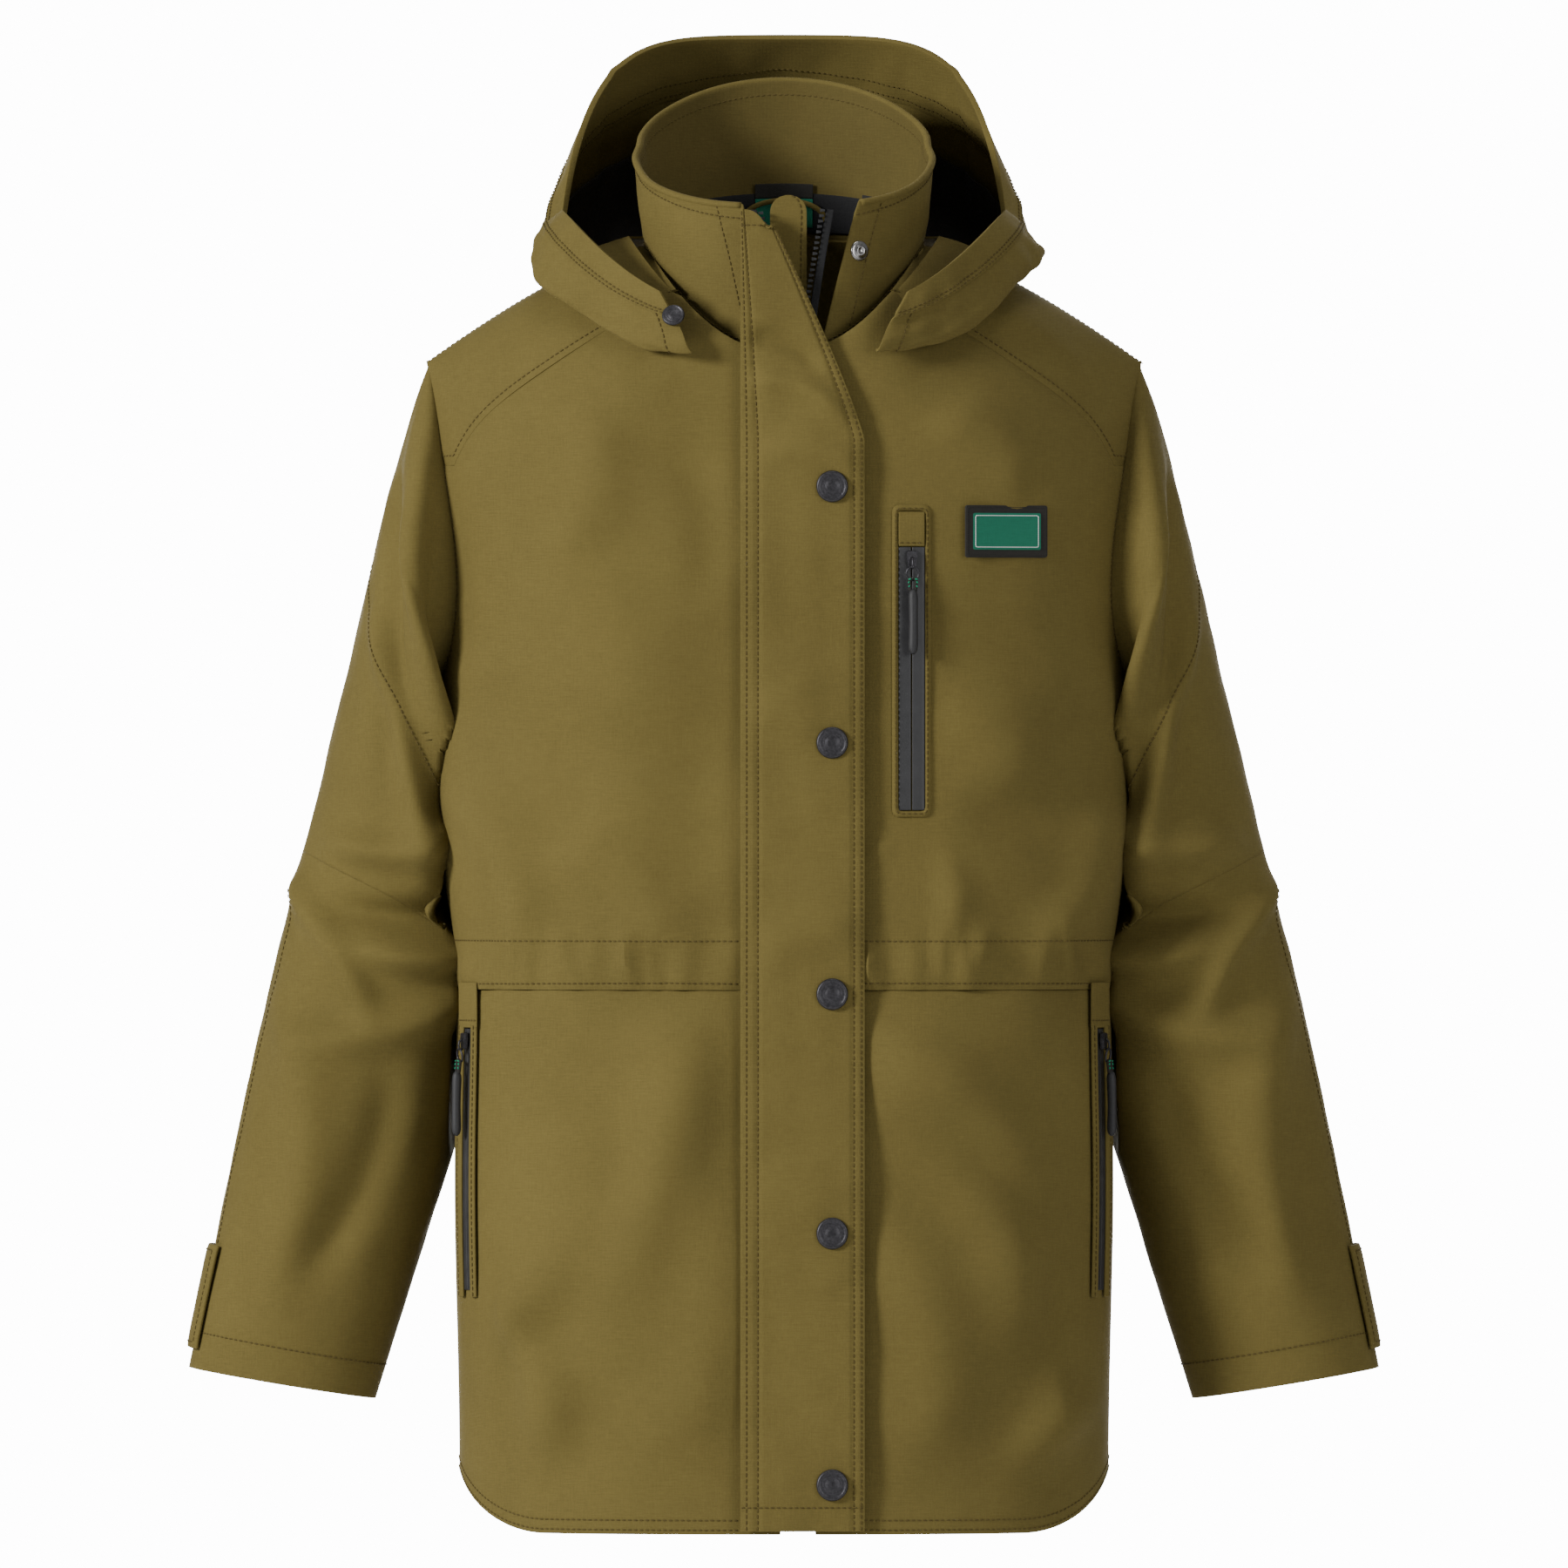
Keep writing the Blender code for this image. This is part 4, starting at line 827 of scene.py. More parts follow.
def makeSleeve(side, key, label):
    seed = 40 + side
    for part, low, high, rows in (("Upper", 0.0, sleeve["elbow"], 150),
                                  ("Lower", sleeve["elbow"], 1.0, 130)):
        along = byRow(low, high, rows, 112)
        turn = np.arange(112)[None, :] * (2 * math.pi / 112) * np.ones((rows, 1))
        grid, _ = onSleeve(along, turn, seed, side)
        if side > 0:
            grid = grid[:, ::-1]
        piece = solidSheet("sleeve" + key + part, grid[::-1], olive, None,
                           (part.lower() + "_sleeve_" + label,), 0.0018, True)
        if part == "Upper":
            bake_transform(piece)
            piece.modifiers.remove(piece.modifiers["turnedEdge"])
        else:
            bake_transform(piece)
    t = np.linspace(0, 1, 90)
    around = np.linspace(0, 2 * math.pi, 120)
    sleeveStitch("cuffHem" + key, 0.972 + 0 * around, around, seed, side, "forearm_" + label)
    seam = np.radians(10 + 108 * smoothStep(0, 1, t))
    sleeveStitch("upperSeam" + key, 0.235 + 0.135 * t, seam, seed, side, "torso")
    sleeveStitch("foreSeam" + key, 0.56 + 0.40 * t, np.radians(20 - 6 * t), seed, side,
                 "forearm_" + label)
    # the cuff tab: a stitched strip that lies round the outer edge, over the sleeve
    rows, columns = tab["rows"], tab["columns"]
    along = np.linspace(*tab["along"], rows)[:, None] * np.ones((1, columns))
    turn = np.radians(np.linspace(*tab["turn"], columns))[None, :] * np.ones((rows, 1))
    flip = np.array([side, 1, 1])
    # its edges are rounded down by an eighth power of the distance from its middle
    rounding = 0.0012 * (np.abs(np.linspace(-1, 1, rows))[:, None] ** 8
                         + np.abs(np.linspace(-1, 1, columns))[None, :] ** 8)
    grid = sleevePoint(along, turn, tab["stand"]) * flip
    centre = sleevePoint(np.array([[0.95]]), np.array([[math.pi]]))[0, 0] * flip
    normals = outNormals(grid, centre)
    grid = grid - normals * rounding[..., None] * 0.6
    solidSheet("cuffTab" + key, grid, olive, "tab_" + label, ("cuff_tab_" + label,), tab["thick"],
               False, centre)
    box = [(0.06, 0.07), (0.94, 0.07), (0.94, 0.93), (0.06, 0.93), (0.06, 0.07)]
    for number, ((r0, c0), (r1, c1)) in enumerate(zip(box[:-1], box[1:])):
        line = [gridColumn(gridRow(grid, r)[None].repeat(2, 0), c)[0] for r, c in
                zip(np.linspace(r0, r1, 12), np.linspace(c0, c1, 12))]
        up = [gridColumn(gridRow(normals, r)[None].repeat(2, 0), c)[0] for r, c in
              zip(np.linspace(r0, r1, 12), np.linspace(c0, c1, 12))]
        stitchRow("tabStitch" + key + str(number), np.array(line) + np.array(up) * stitchLift,
                  np.array(up),
                  "tab_" + label)


for side, key, label in ((-1, "Right", "right"), (1, "Left", "left")):
    makeSleeve(side, key, label)
print("sleeves made")


# collar
collar = {"rise": 0.084, "cloth": 0.0014, "open": 0.018, "rightEnd": 0.004, "leftEnd": 0.022}


def collarPoint(turn, rise, grow=0.0):
    # turn 0 is at the back and +-pi at the front; rise is 0 at the neck seam and 1 at the top
    half = (1 + np.cos(turn)) / 2
    x = (body["neckHalf"] + 0.001 + 0.006 * rise + grow) * np.sin(turn)
    y = neckY + (0.0925 - 0.003 * rise + grow) * np.cos(turn)
    reach = body["neckHalf"] * np.sin(turn)
    seam = np.where(np.cos(turn) > 0, backNeck(reach), frontNeck(reach))
    frontTop = body["back"] - body["neckDrop"] + collar["rise"]
    top = frontTop + (body["back"] + body["collarBack"] - frontTop) * half ** 1.3
    return np.stack([x, y, seam + 0.002 + (top - seam - 0.002) * rise], -1)


def collarGrid(low, high, rows, columns, grow, gap=0.0):
    rise = byRow(low, high, rows, columns)
    radius = body["neckHalf"] + 0.001
    right = math.pi - np.arcsin((collar["rightEnd"] + gap + collar["open"] * rise) / radius)
    left = math.pi - np.arcsin((collar["leftEnd"] + gap + collar["open"] * rise) / radius)
    turn = -right + (right + left) * np.linspace(0, 1, columns)[None, :]
    # soft unevenness and a few upright folds where the collar turns at the sides
    wave = 0.0010 * ripple(turn * 0.085, rise * 0.08, 61, 0.075) * smoothStep(0, 0.3, rise)
    wave = wave + 0.0024 * np.exp(-((np.abs(turn) - 1.9) / 0.16) ** 2) * np.sin(math.pi * rise) \
        - 0.0020 * np.exp(-((np.abs(turn) - 1.45) / 0.12) ** 2) * smoothStep(0.2, 1.0, rise)
    return collarPoint(turn, rise, grow + wave), turn, rise


neckCentre = np.array([0, neckY, body["back"] + 0.04])
outer, turn, rise = collarGrid(-0.07, 1.0, 48, 190, 0.0)
outer = outer + outNormals(outer, neckCentre) * (seamDip(rise * 0.085) + seamDip((1 - rise) * 0.085
                                                                                 - 0.0085, 0.0005,
                                                                                 0.002))[..., None]
solidSheet("collarShell", outer, olive, "torso", ("collar",), collar["cloth"], centre=neckCentre)
grids["collar"] = outer
lining, _, _ = collarGrid(0.10, 0.985, 40, 170, -0.0024, 0.003)
# the facing takes the darker olive copy: painted shade inside the collar
solidSheet("collarFacing", lining, oliveDarkenedForShade, "torso", ("collar_lining",), 0.0010,
           centre=neckCentre)
rim = gridRow(outer, 1.0) * 0.5 + gridRow(lining, 1.0)[np.linspace(0, 169,
                                                                   190).round().astype(int)] * 0.5
tubeAlong("collarRim", rim + np.array([0, 0, -0.0006]), 0.0021, olive, "torso")
sewAlong("collarTopStitch", outer, "torso", row=1 - 0.0085 / 0.085, centre=neckCentre)
sewAlong("collarSeamStitch", outer, "torso", row=0.06, centre=neckCentre)
for share, end in ((0.035, "Right"), (0.965, "Left")):
    sewAlong("collarEdgeStitch" + end, outer, "torso", column=share, centre=neckCentre)
inside = lining - outNormals(lining, neckCentre) * 0.0010
line = gridRow(inside, 0.90)
stitchRow("collarInsideStitch", line, -gridRow(outNormals(lining, neckCentre), 0.90), "torso")

# hood
hood = {"half": 0.1445, "height": 0.1195, "end": math.radians(157), "droopSide": 0.060,
        "droopFront": 0.055, "crown": math.radians(48), "brim": 0.885}


def hoodCurve(turn, share):
    # from the seam round the neck (share 0), out over the bulge, to the brim (share 1)
    back = (1 + np.cos(turn)) / 2
    wide = np.abs(np.sin(turn))
    front = np.clip(-np.cos(turn), 0, 1)
    reach = body["neckHalf"] * np.sin(turn)
    baseZ = np.where(np.cos(turn) > 0, backNeck(reach), frontNeck(reach)) + 0.006
    behind = np.cos(turn) > 0
    base = np.stack([0.0890 * np.sin(turn), neckY + 0.1015 * np.cos(turn), baseZ - 0.002], -1)
    belly = np.stack([(hood["half"] - 0.012 * front ** 2) * np.sin(turn),
                      neckY + np.where(behind, 0.190, 0.118) * np.cos(turn),
                      baseZ + 0.004 + 0.028 * back - hood["droopSide"] * wide * back
                      - hood["droopFront"] * wide * front], -1)
    lift = np.sin(math.pi / 2 * np.clip((back - 0.54) / 0.46, 0, 1)) ** 1.2
    rim = np.stack([(0.1275 - 0.002 * front) * np.sign(np.sin(turn)) * wide ** 0.85,
                    neckY + np.where(behind, 0.128, 0.114) * np.cos(turn),
                    baseZ + 0.014 + (hood["height"] - 0.020) * lift], -1)
    s = share[..., None]
    return (1 - s) ** 2 * base + 2 * s * (1 - s) * (2 * belly - (base + rim) / 2) + s * s * rim


def hoodGrid(start, stop, low, high, rows, columns):
    share = byRow(low, high, rows, columns)
    # the front ends are rounded: the turn stops earlier at the seam and at the brim
    round3 = math.radians(9) * np.clip(np.abs(share - 0.62) / 0.40, 0, 1.1) ** 3
    first = np.where(abs(start) > 2.6, start + round3 * (1 if start < 0 else -1), start)
    last = np.where(abs(stop) > 2.6, stop - round3 * (1 if stop > 0 else -1), stop)
    turn = first + (last - first) * np.linspace(0, 1, columns)[None, :]
    grid = hoodCurve(turn, share)
    normals = gridNormals(grid)
    soft = 0.0022 * ripple(turn * 0.13, share * 0.15, 71,
                           0.10) + 0.0012 * ripple(turn * 0.13, share * 0.15, 75, 0.035)
    sag = 0.0030 * np.sin(turn * 9 + 5
                          * share) * np.exp(-((share - 0.55) / 0.2) ** 2) * np.abs(np.sin(turn))
    edge = smoothStep(0, 0.12, share) * smoothStep(0, 0.08, 1 - share)
    field = (soft + sag) * edge + seamDip((share - hood["brim"]) * 0.15, 0.0009, 0.003)
    for seam in (-hood["crown"], hood["crown"]):
        field = field + seamDip((turn - seam) * 0.13, 0.0010, 0.004)
    return grid + normals * field[..., None], turn, share


def hoodBend(piece):
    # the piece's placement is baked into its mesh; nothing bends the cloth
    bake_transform(piece)
    return piece


def hoodPiece(name, grid, replaced, finish=olive, thickness=0.0014):
    piece = solidSheet(name, grid, finish, None, replaced, thickness,
                       centre=neckCentre)
    return hoodBend(piece)


gap = math.radians(0.02)
hoodParts = {}
for name, start, stop, columns, replaced in (
        ("hoodCrown", -hood["crown"] + gap, hood["crown"] - gap, 90, "hood_crown"),
        ("hoodLeft", hood["crown"] + gap, hood["end"], 100, "hood_side_left"),
        ("hoodRight", -hood["end"], -hood["crown"] - gap, 100, "hood_side_right")):
    grid, _, _ = hoodGrid(start, stop, 0.0, hood["brim"] + 0.012, 60, columns)
    hoodParts[name] = grid
    hoodPiece(name, grid, (replaced,))
grid, _, _ = hoodGrid(-hood["end"], hood["end"], hood["brim"] - 0.004, 1.0, 14, 300)
brimGrid = grid + outNormals(grid, neckCentre) * 0.0007
hoodPiece("hoodBrim", brimGrid, ("hood_brim",), olive, 0.0036)
lining, _, _ = hoodGrid(-hood["end"] * 0.62, hood["end"] * 0.62, 0.20, 0.80, 40, 150)
lining = lining - outNormals(lining, neckCentre) * 0.0048
hoodPiece("hoodInner", lining, ("hood_lining",), liningCloth, 0.0008)


def hoodStitch(name, grid, row=None, column=None, lift=0.0003, flip=1):
    normals = outNormals(grid, neckCentre) * flip
    pick = (lambda g: gridRow(g, row)) if row is not None else (lambda g: gridColumn(g, column))
    path, up = pick(grid), pick(normals)
    hoodBend(stitchRow(name, path + up * lift, up, None))


hoodStitch("brimStitchOuter", brimGrid, row=0.22)
hoodStitch("brimStitchSeam", brimGrid, row=0.08)
hoodStitch("brimStitchInner", brimGrid, row=0.30, lift=0.0040, flip=-1)
hoodStitch("brimStitchInnerSeam", brimGrid, row=0.10, lift=0.0040, flip=-1)
for name, key in (("hoodLeft", "Left"), ("hoodRight", "Right")):
    near, far = (0.025, 0.95) if key == "Left" else (0.975, 0.05)
    hoodStitch("hoodSeamStitch" + key, hoodParts[name], column=near)
    hoodStitch("hoodTipStitch" + key, hoodParts[name], column=far)
print("collar and hood made")


# front closure
flap = {"left": -0.025, "width": 0.071, "stand": 0.0042, "thick": 0.0024, "top": 0.757}
snap = {"x": 0.0275, "heights": (0.0285, 0.172, 0.3085, 0.452, 0.5985)}
zipper = {"top": 0.655, "teeth": 0.0028, "gap": 0.0007, "behind": 0.0026,
          "tape": 0.014, "pitch": 0.0031}


def frontY(x, z, stand=0.0):
    # the straight front without the shoulder's fall, and how far a piece stands off it
    share = np.clip(np.abs(x) / halfWidth(0.3), 0, 1)
    r = body["round"]
    return -(depthAt(z, True) * np.clip(1 - share ** (2 / r), 0, 1) ** (r / 2) + stand)


def frontGrid(left, right, heights, stand, columns):
    z = np.asarray(heights, float)[:, None] * np.ones((1, columns))
    x = left(z) + (right(z) - left(z)) * np.linspace(0, 1, columns)[None, :]
    return np.stack([x, frontY(x, z, stand), z], -1)


def facePlace(x, z, stand):
    # a point on the front, with the directions across, up and out of the cloth there
    here = np.array([x, float(frontY(x, z, stand)), z])
    across = np.array([0.02, float(frontY(x + 0.01, z) - frontY(x - 0.01, z)), 0])
    up = np.array([0, float(frontY(x, z + 0.01) - frontY(x, z - 0.01)), 0.02])
    across, up = across / np.linalg.norm(across), up / np.linalg.norm(up)
    return here, across, up, np.cross(across, up)


def plate(name, outline, thick, place, finish, bodyName, replaces=(), dome=0.0):
    # a flat outline in the place's own across-up plane, thickened outwards
    here, across, up, out = place
    outline = np.asarray(outline, float)
    count = len(outline)
    base = here + outline[:, :1] * across + outline[:, 1:] * up
    shrink = outline * (1 - dome) if dome else outline
    face = here + shrink[:, :1] * across + shrink[:, 1:] * up + out * thick
    faces = [list(range(count)), [2 * count - 1 - k for k in range(count)]]
    faces += [[k, k + count, (k + 1) % count + count, (k + 1) % count] for k in range(count)]
    return fixOutward(rawMesh(name, np.concatenate([base, face]), faces, finish, bodyName,
                              False, replaces))


def roundedBox(width, height, radius, steps=5):
    points = []
    for cx, cz, start in ((1, 1, 0), (-1, 1, 90), (-1, -1, 180), (1, -1, 270)):
        for a in np.radians(np.linspace(start, start + 90, steps)):
            points.append((cx * (width / 2 - radius) + radius * math.cos(a),
                           cz * (height / 2 - radius) + radius * math.sin(a)))
    return np.array(points)


def freeEdge(z):
    # straight to the chest, then a curve in towards the throat
    return flap["left"] + flap["width"] - 0.056 * np.clip((z - 0.625) / 0.132, 0, 1) ** 1.15


def flapField(x, z):
    across = (x - flap["left"]) / (freeEdge(z) - flap["left"])
    total = 0.0016 * ripple(x, z, 91, 0.12) + 0.0006 * ripple(x, z, 92, 0.035)
    for fold in ((-0.02, 0.660, 0.035, 0.640, 0.007, 0.0022), (-0.02, 0.685, 0.020, 0.668, 0.006,
                                                               -0.0016),
                 (-0.01, 0.620, 0.044, 0.608, 0.010, 0.0016), (-0.015, 0.480, 0.040, 0.430, 0.020,
                                                               0.0014),
                 (-0.015, 0.330, 0.040, 0.345, 0.014, 0.0014), (-0.01, 0.210, 0.040, 0.150, 0.020,
                                                                0.0014)):
        total = total + ridge(x, z, fold)
    total = total * smoothStep(0, 0.25, across)
    for height in snap["heights"]:
        total = total * (1 - 0.7 * np.exp(-((x - snap["x"]) ** 2 + (z - height) ** 2) / 0.013 ** 2))
    puff = 0.0007 * smoothStep(0, 0.10, across) * smoothStep(0, 0.10, 1 - across)
    return total + puff - 0.0008 * np.exp(-((across - 0.14) / 0.02) ** 2) \
        - 0.0008 * np.exp(-((1 - across - 0.09) / 0.016) ** 2)


heights = np.linspace(0.002, flap["top"], 330)
grid = frontGrid(constant(flap["left"]), freeEdge, heights, flap["stand"] + flap["thick"], 56)
# the top's corner is rounded
grid[..., 2] -= 0.010 * smoothStep(0.985, 1.0, (grid[..., 2] / flap["top"])) \
    * np.linspace(0, 1, 56)[None, :] ** 3
grid[..., 1] -= flapField(grid[..., 0], grid[..., 2])
flapPiece = solidSheet("stormFlap", grid, olive, "storm_flap", ("storm_flap",), flap["thick"])
for share, end in ((0.05, "Ridge"), (0.14, "Inner"), (0.915, "Outer"), (0.972, "Edge")):
    sewAlong("flapStitch" + end, grid, "storm_flap", column=share)
sewAlong("flapStitchHem", grid, "storm_flap", row=0.018)
sewAlong("flapStitchTop", grid, "storm_flap", row=0.988)


def turnedPiece(name, profile, place, steps, finish, bodyName, replaces=(), knurl=None):
    # a profile of radius and height turned round the outward direction
    here, across, up, out = place
    angle = np.arange(steps) * 2 * math.pi / steps
    ring = across[None] * np.cos(angle)[:, None] + up[None] * np.sin(angle)[:, None]
    rows = []
    for radius, height in profile:
        rise = height * np.ones(steps)
        if knurl and knurl[0] < radius < knurl[1]:
            rise = rise + knurl[3] * (np.cos(angle * knurl[2]) > 0)
        rows.append(here + ring * radius + out * rise[:, None])
    points = np.concatenate(rows)
    count = len(profile)
    faces = [[r * steps + k, r * steps + (k + 1) % steps, (r + 1) * steps + (k + 1) % steps,
              (r + 1) * steps + k] for r in range(count - 1) for k in range(steps)]
    faces += [list(range(steps)), [(count - 1) * steps + k for k in range(steps)]]
    return fixOutward(rawMesh(name, points, faces, finish, bodyName, True, replaces))


capProfile = [(0.0002, 0.0030), (0.0018, 0.0030), (0.0032, 0.0028), (0.0042, 0.0024),
              (0.0047, 0.0023),
              (0.0052, 0.0027), (0.0054, 0.0025), (0.0072, 0.0024), (0.0074, 0.0027),
              (0.0082, 0.0028),
              (0.0088, 0.0022), (0.0091, 0.0013), (0.0091, 0.0005), (0.0088, 0.0), (0.0002, 0.0)]
studProfile = [(0.0002, 0.0012), (0.0012, 0.0013), (0.0017, 0.0018), (0.0024, 0.0018),
               (0.0028, 0.0010),
               (0.0042, 0.0008), (0.0049, 0.0006), (0.0051, 0.0), (0.0002, 0.0)]
# the cap's ridges: the radii that they lie between, how many and how high
capKnurl = (0.0053, 0.0073, 30, 0.00022)
for number, height in enumerate(snap["heights"], 1):
    lift = float(flapField(np.array(snap["x"]), np.array(height)))
    place = facePlace(snap["x"], height, flap["stand"] + flap["thick"] + lift - 0.0001)
    turnedPiece("snapCap" + str(number), capProfile, place, 64, gunmetal, "storm_flap",
                ("snap_cap_%d" % number,), capKnurl)
    place = facePlace(snap["x"], height, 0.0006)
    turnedPiece("snapStud" + str(number), studProfile, place, 32, silver, "torso",
                ("snap_stud_%d" % number,))


def parting(z):
    # how far the zip's halves have parted above the slider
    return np.clip((z - zipper["top"] - 0.022) / 0.085, 0, 1) ** 1.2


for label, side, reach in (("right", -1, -0.021), ("left", 1, 0.013)):
    key = label.capitalize()
    inner = zipper["gap"] + zipper["teeth"] + 0.0006
    behind = -(0.0012 + zipper["behind"])

    def innerEdge(z):
        return zipX + side * inner + reach * parting(z)

    def outerEdge(z):
        wide = zipper["tape"] * (1 - 0.68 * np.clip((z - zipper["top"]) / 0.022, 0, 1))
        return zipX + side * (inner + wide) + reach * parting(z)
    heights = np.concatenate([np.linspace(0.006, zipper["top"], 60), np.linspace(0.658, 0.757, 40)])
    grid = frontGrid(innerEdge, outerEdge, heights, behind, 6)
    solidSheet("zipTape" + key, grid, tapeCloth, "torso", ("zip_tape_" + label,), 0.0009)
    # moulded teeth: a block for each, with a waist so that they look hooked
    at = np.arange(0.008, 0.757, zipper["pitch"])
    at = at[(at < zipper["top"] - 0.006) | (at > zipper["top"] + 0.022)]
    shift = side * 0.25 * zipper["teeth"]
    block = np.array([[-0.5, -0.5, -0.5], [0.5, -0.5, -0.28], [0.5, 0.5, -0.28], [-0.5, 0.5, -0.5],
                      [-0.5, -0.5, 0.5], [0.5, -0.5, 0.28], [0.5, 0.5, 0.28], [-0.5, 0.5, 0.5]])
    block = block * np.array([side * zipper["teeth"], 0.0022, zipper["pitch"] * 0.62])
    middle = zipX + side * (zipper["gap"] + zipper["teeth"] / 2 + 0.0002) + reach * parting(at)
    centre = np.stack([middle, frontY(middle, at, behind + 0.0002), at + (0.5 if side > 0 else 0)
                       * zipper["pitch"]], -1)
    points = (centre[:, None] + block[None]).reshape(-1, 3)
    sides = [[0, 3, 2, 1], [4, 5, 6, 7], [0, 1, 5, 4], [1, 2, 6, 5], [2, 3, 7, 6], [3, 0, 4, 7]]
    faces = [[v + 8 * n for v in face] for n in range(len(at)) for face in sides]
    fixOutward(rawMesh("zipTeeth" + key, points, faces, zipPlastic, "torso", False,
                       ("zip_teeth_" + label,)))

heights = np.concatenate([np.linspace(0.010, 0.74, 120), np.linspace(0.742, 0.7655, 24)])
grid = frontGrid(constant(-0.008), constant(0.013), heights, -0.0082, 24)
bulge = np.clip((grid[..., 2] - 0.755) / 0.0105, 0, 1)
grid[..., 0] = 0.0025 + (grid[..., 0] - 0.0025) * np.sqrt(np.clip(1 - 0.98 * bulge ** 2.2,
                                                                  0.0004, 1))
solidSheet("zipGuard", grid, olive, "torso", ("zip_guard",), 0.0024)
sewAlong("guardStitch", grid, "torso", column=0.85)

place = facePlace(zipX, zipper["top"], -0.0023)
plate("frontSlider", roundedBox(0.0092, 0.0098, 0.0026), 0.0026, place, zipPlastic, "front_slider",
      ("front_slider",), 0.12)
place = facePlace(zipX, zipper["top"] - 0.012, 0.0006)
plate("frontPuller", roundedBox(0.0048, 0.0200, 0.0018), 0.0014, place, gunmetal, "front_puller",
      ("front_puller",), 0.08)
print("front closure made")


# chest pocket
chest = {"x": 0.073, "bottom": 0.4135, "length": 0.1505, "width": 0.015, "wide": 0.0225,
         "stand": 0.0026}


def frameRing(name, x, low, high, width, wide, stand, finish, replaces):
    # a raised, rounded frame of cloth: a ring of profiles from its inner to its outer edge
    inner = roundedBox(width, high - low, 0.0020, 16)
    outer = roundedBox(wide, high - low + (wide - width), 0.0040, 16)
    steps = np.linspace(0, 1, 9)
    rows = []
    for s in steps:
        flat = inner * (1 - s) + outer * s
        lift = stand * np.sin(math.pi * (0.12 + 0.80 * s)) ** 0.6
        px, pz = flat[:, 0] + x, flat[:, 1] + (low + high) / 2
        rows.append(np.stack([px, frontY(px, pz, lift), pz], -1))
    grid = np.array(rows)
    # closed along the ring; resample each side so that the stitches and the cloth follow the body
    fine = []
    for row in grid:
        loop = np.concatenate([row, row[:1]])
        lengths = np.concatenate([[0], np.linalg.norm(np.diff(loop, axis=0), axis=1).cumsum()])
        at = np.linspace(0, lengths[-1], 181)[:-1]
        px = np.interp(at, lengths, loop[:, 0])
        pz = np.interp(at, lengths, loop[:, 2])
        py = np.interp(at, lengths, loop[:, 1])
        fine.append(np.stack([px, py, pz], -1))
    grid = np.array(fine)
    around = np.roll(grid, -1, 1) - np.roll(grid, 1, 1)
    if np.cross(np.gradient(grid, axis=0), around)[..., 1].sum() > 0:
        grid = grid[:, ::-1]
    grid = grid[::-1]
    solidSheet(name, grid, finish, "torso", replaces, 0.0014, True)
    loop = gridRow(grid, 0.62)
    loop = np.concatenate([loop, loop[:1]])
    stitchRow(name + "Stitch", loop + np.array([0, -0.0003, 0]),
              np.tile([0, -1.0, 0], (len(loop), 1)), "torso")


chestTop = chest["bottom"] + chest["length"]
frameRing("chestWelt", chest["x"], chest["bottom"] - 0.0005, chestTop + 0.0206, chest["width"]
          + 0.0002,
          chest["wide"], chest["stand"], olive, ("chest_welt",))
half = chest["width"] / 2
for side, key in ((-1, "Right"), (1, "Left")):
    near, far = chest["x"] + side * 0.0002, chest["x"] + side * half
    heights = np.linspace(chest["bottom"], chestTop, 160)
    grid = frontGrid(constant(min(near, far)), constant(max(near, far)), heights, 0.0016, 14)
    share = np.abs(grid[..., 0] - chest["x"]) / half
    # two coated halves that meet in a fine line and roll down at their outer edges
    grid[..., 1] -= 0.0006 * np.sqrt(np.clip(share / 0.10, 0, 1)) - 0.0003 * smoothStep(0.8, 1.0,
                                                                                        share)
    solidSheet("chestZip" + key, grid, zipCoated, "torso", ("chest_zip_tape",) if side < 0 else (),
                       0.0008)
heights = np.linspace(chestTop + 0.0004, chestTop + 0.0202, 24)
grid = frontGrid(constant(chest["x"] - half), constant(chest["x"] + half), heights, 0.0024, 16)
grid[..., 1] -= 0.0006 * np.sin(math.pi * np.clip((grid[..., 2] - chestTop) / 0.0206, 0, 1))
solidSheet("chestGarage", grid, olive, "torso", ("chest_garage",), 0.0010)
sewAlong("chestGarageStitch", grid, "torso", row=0.10)


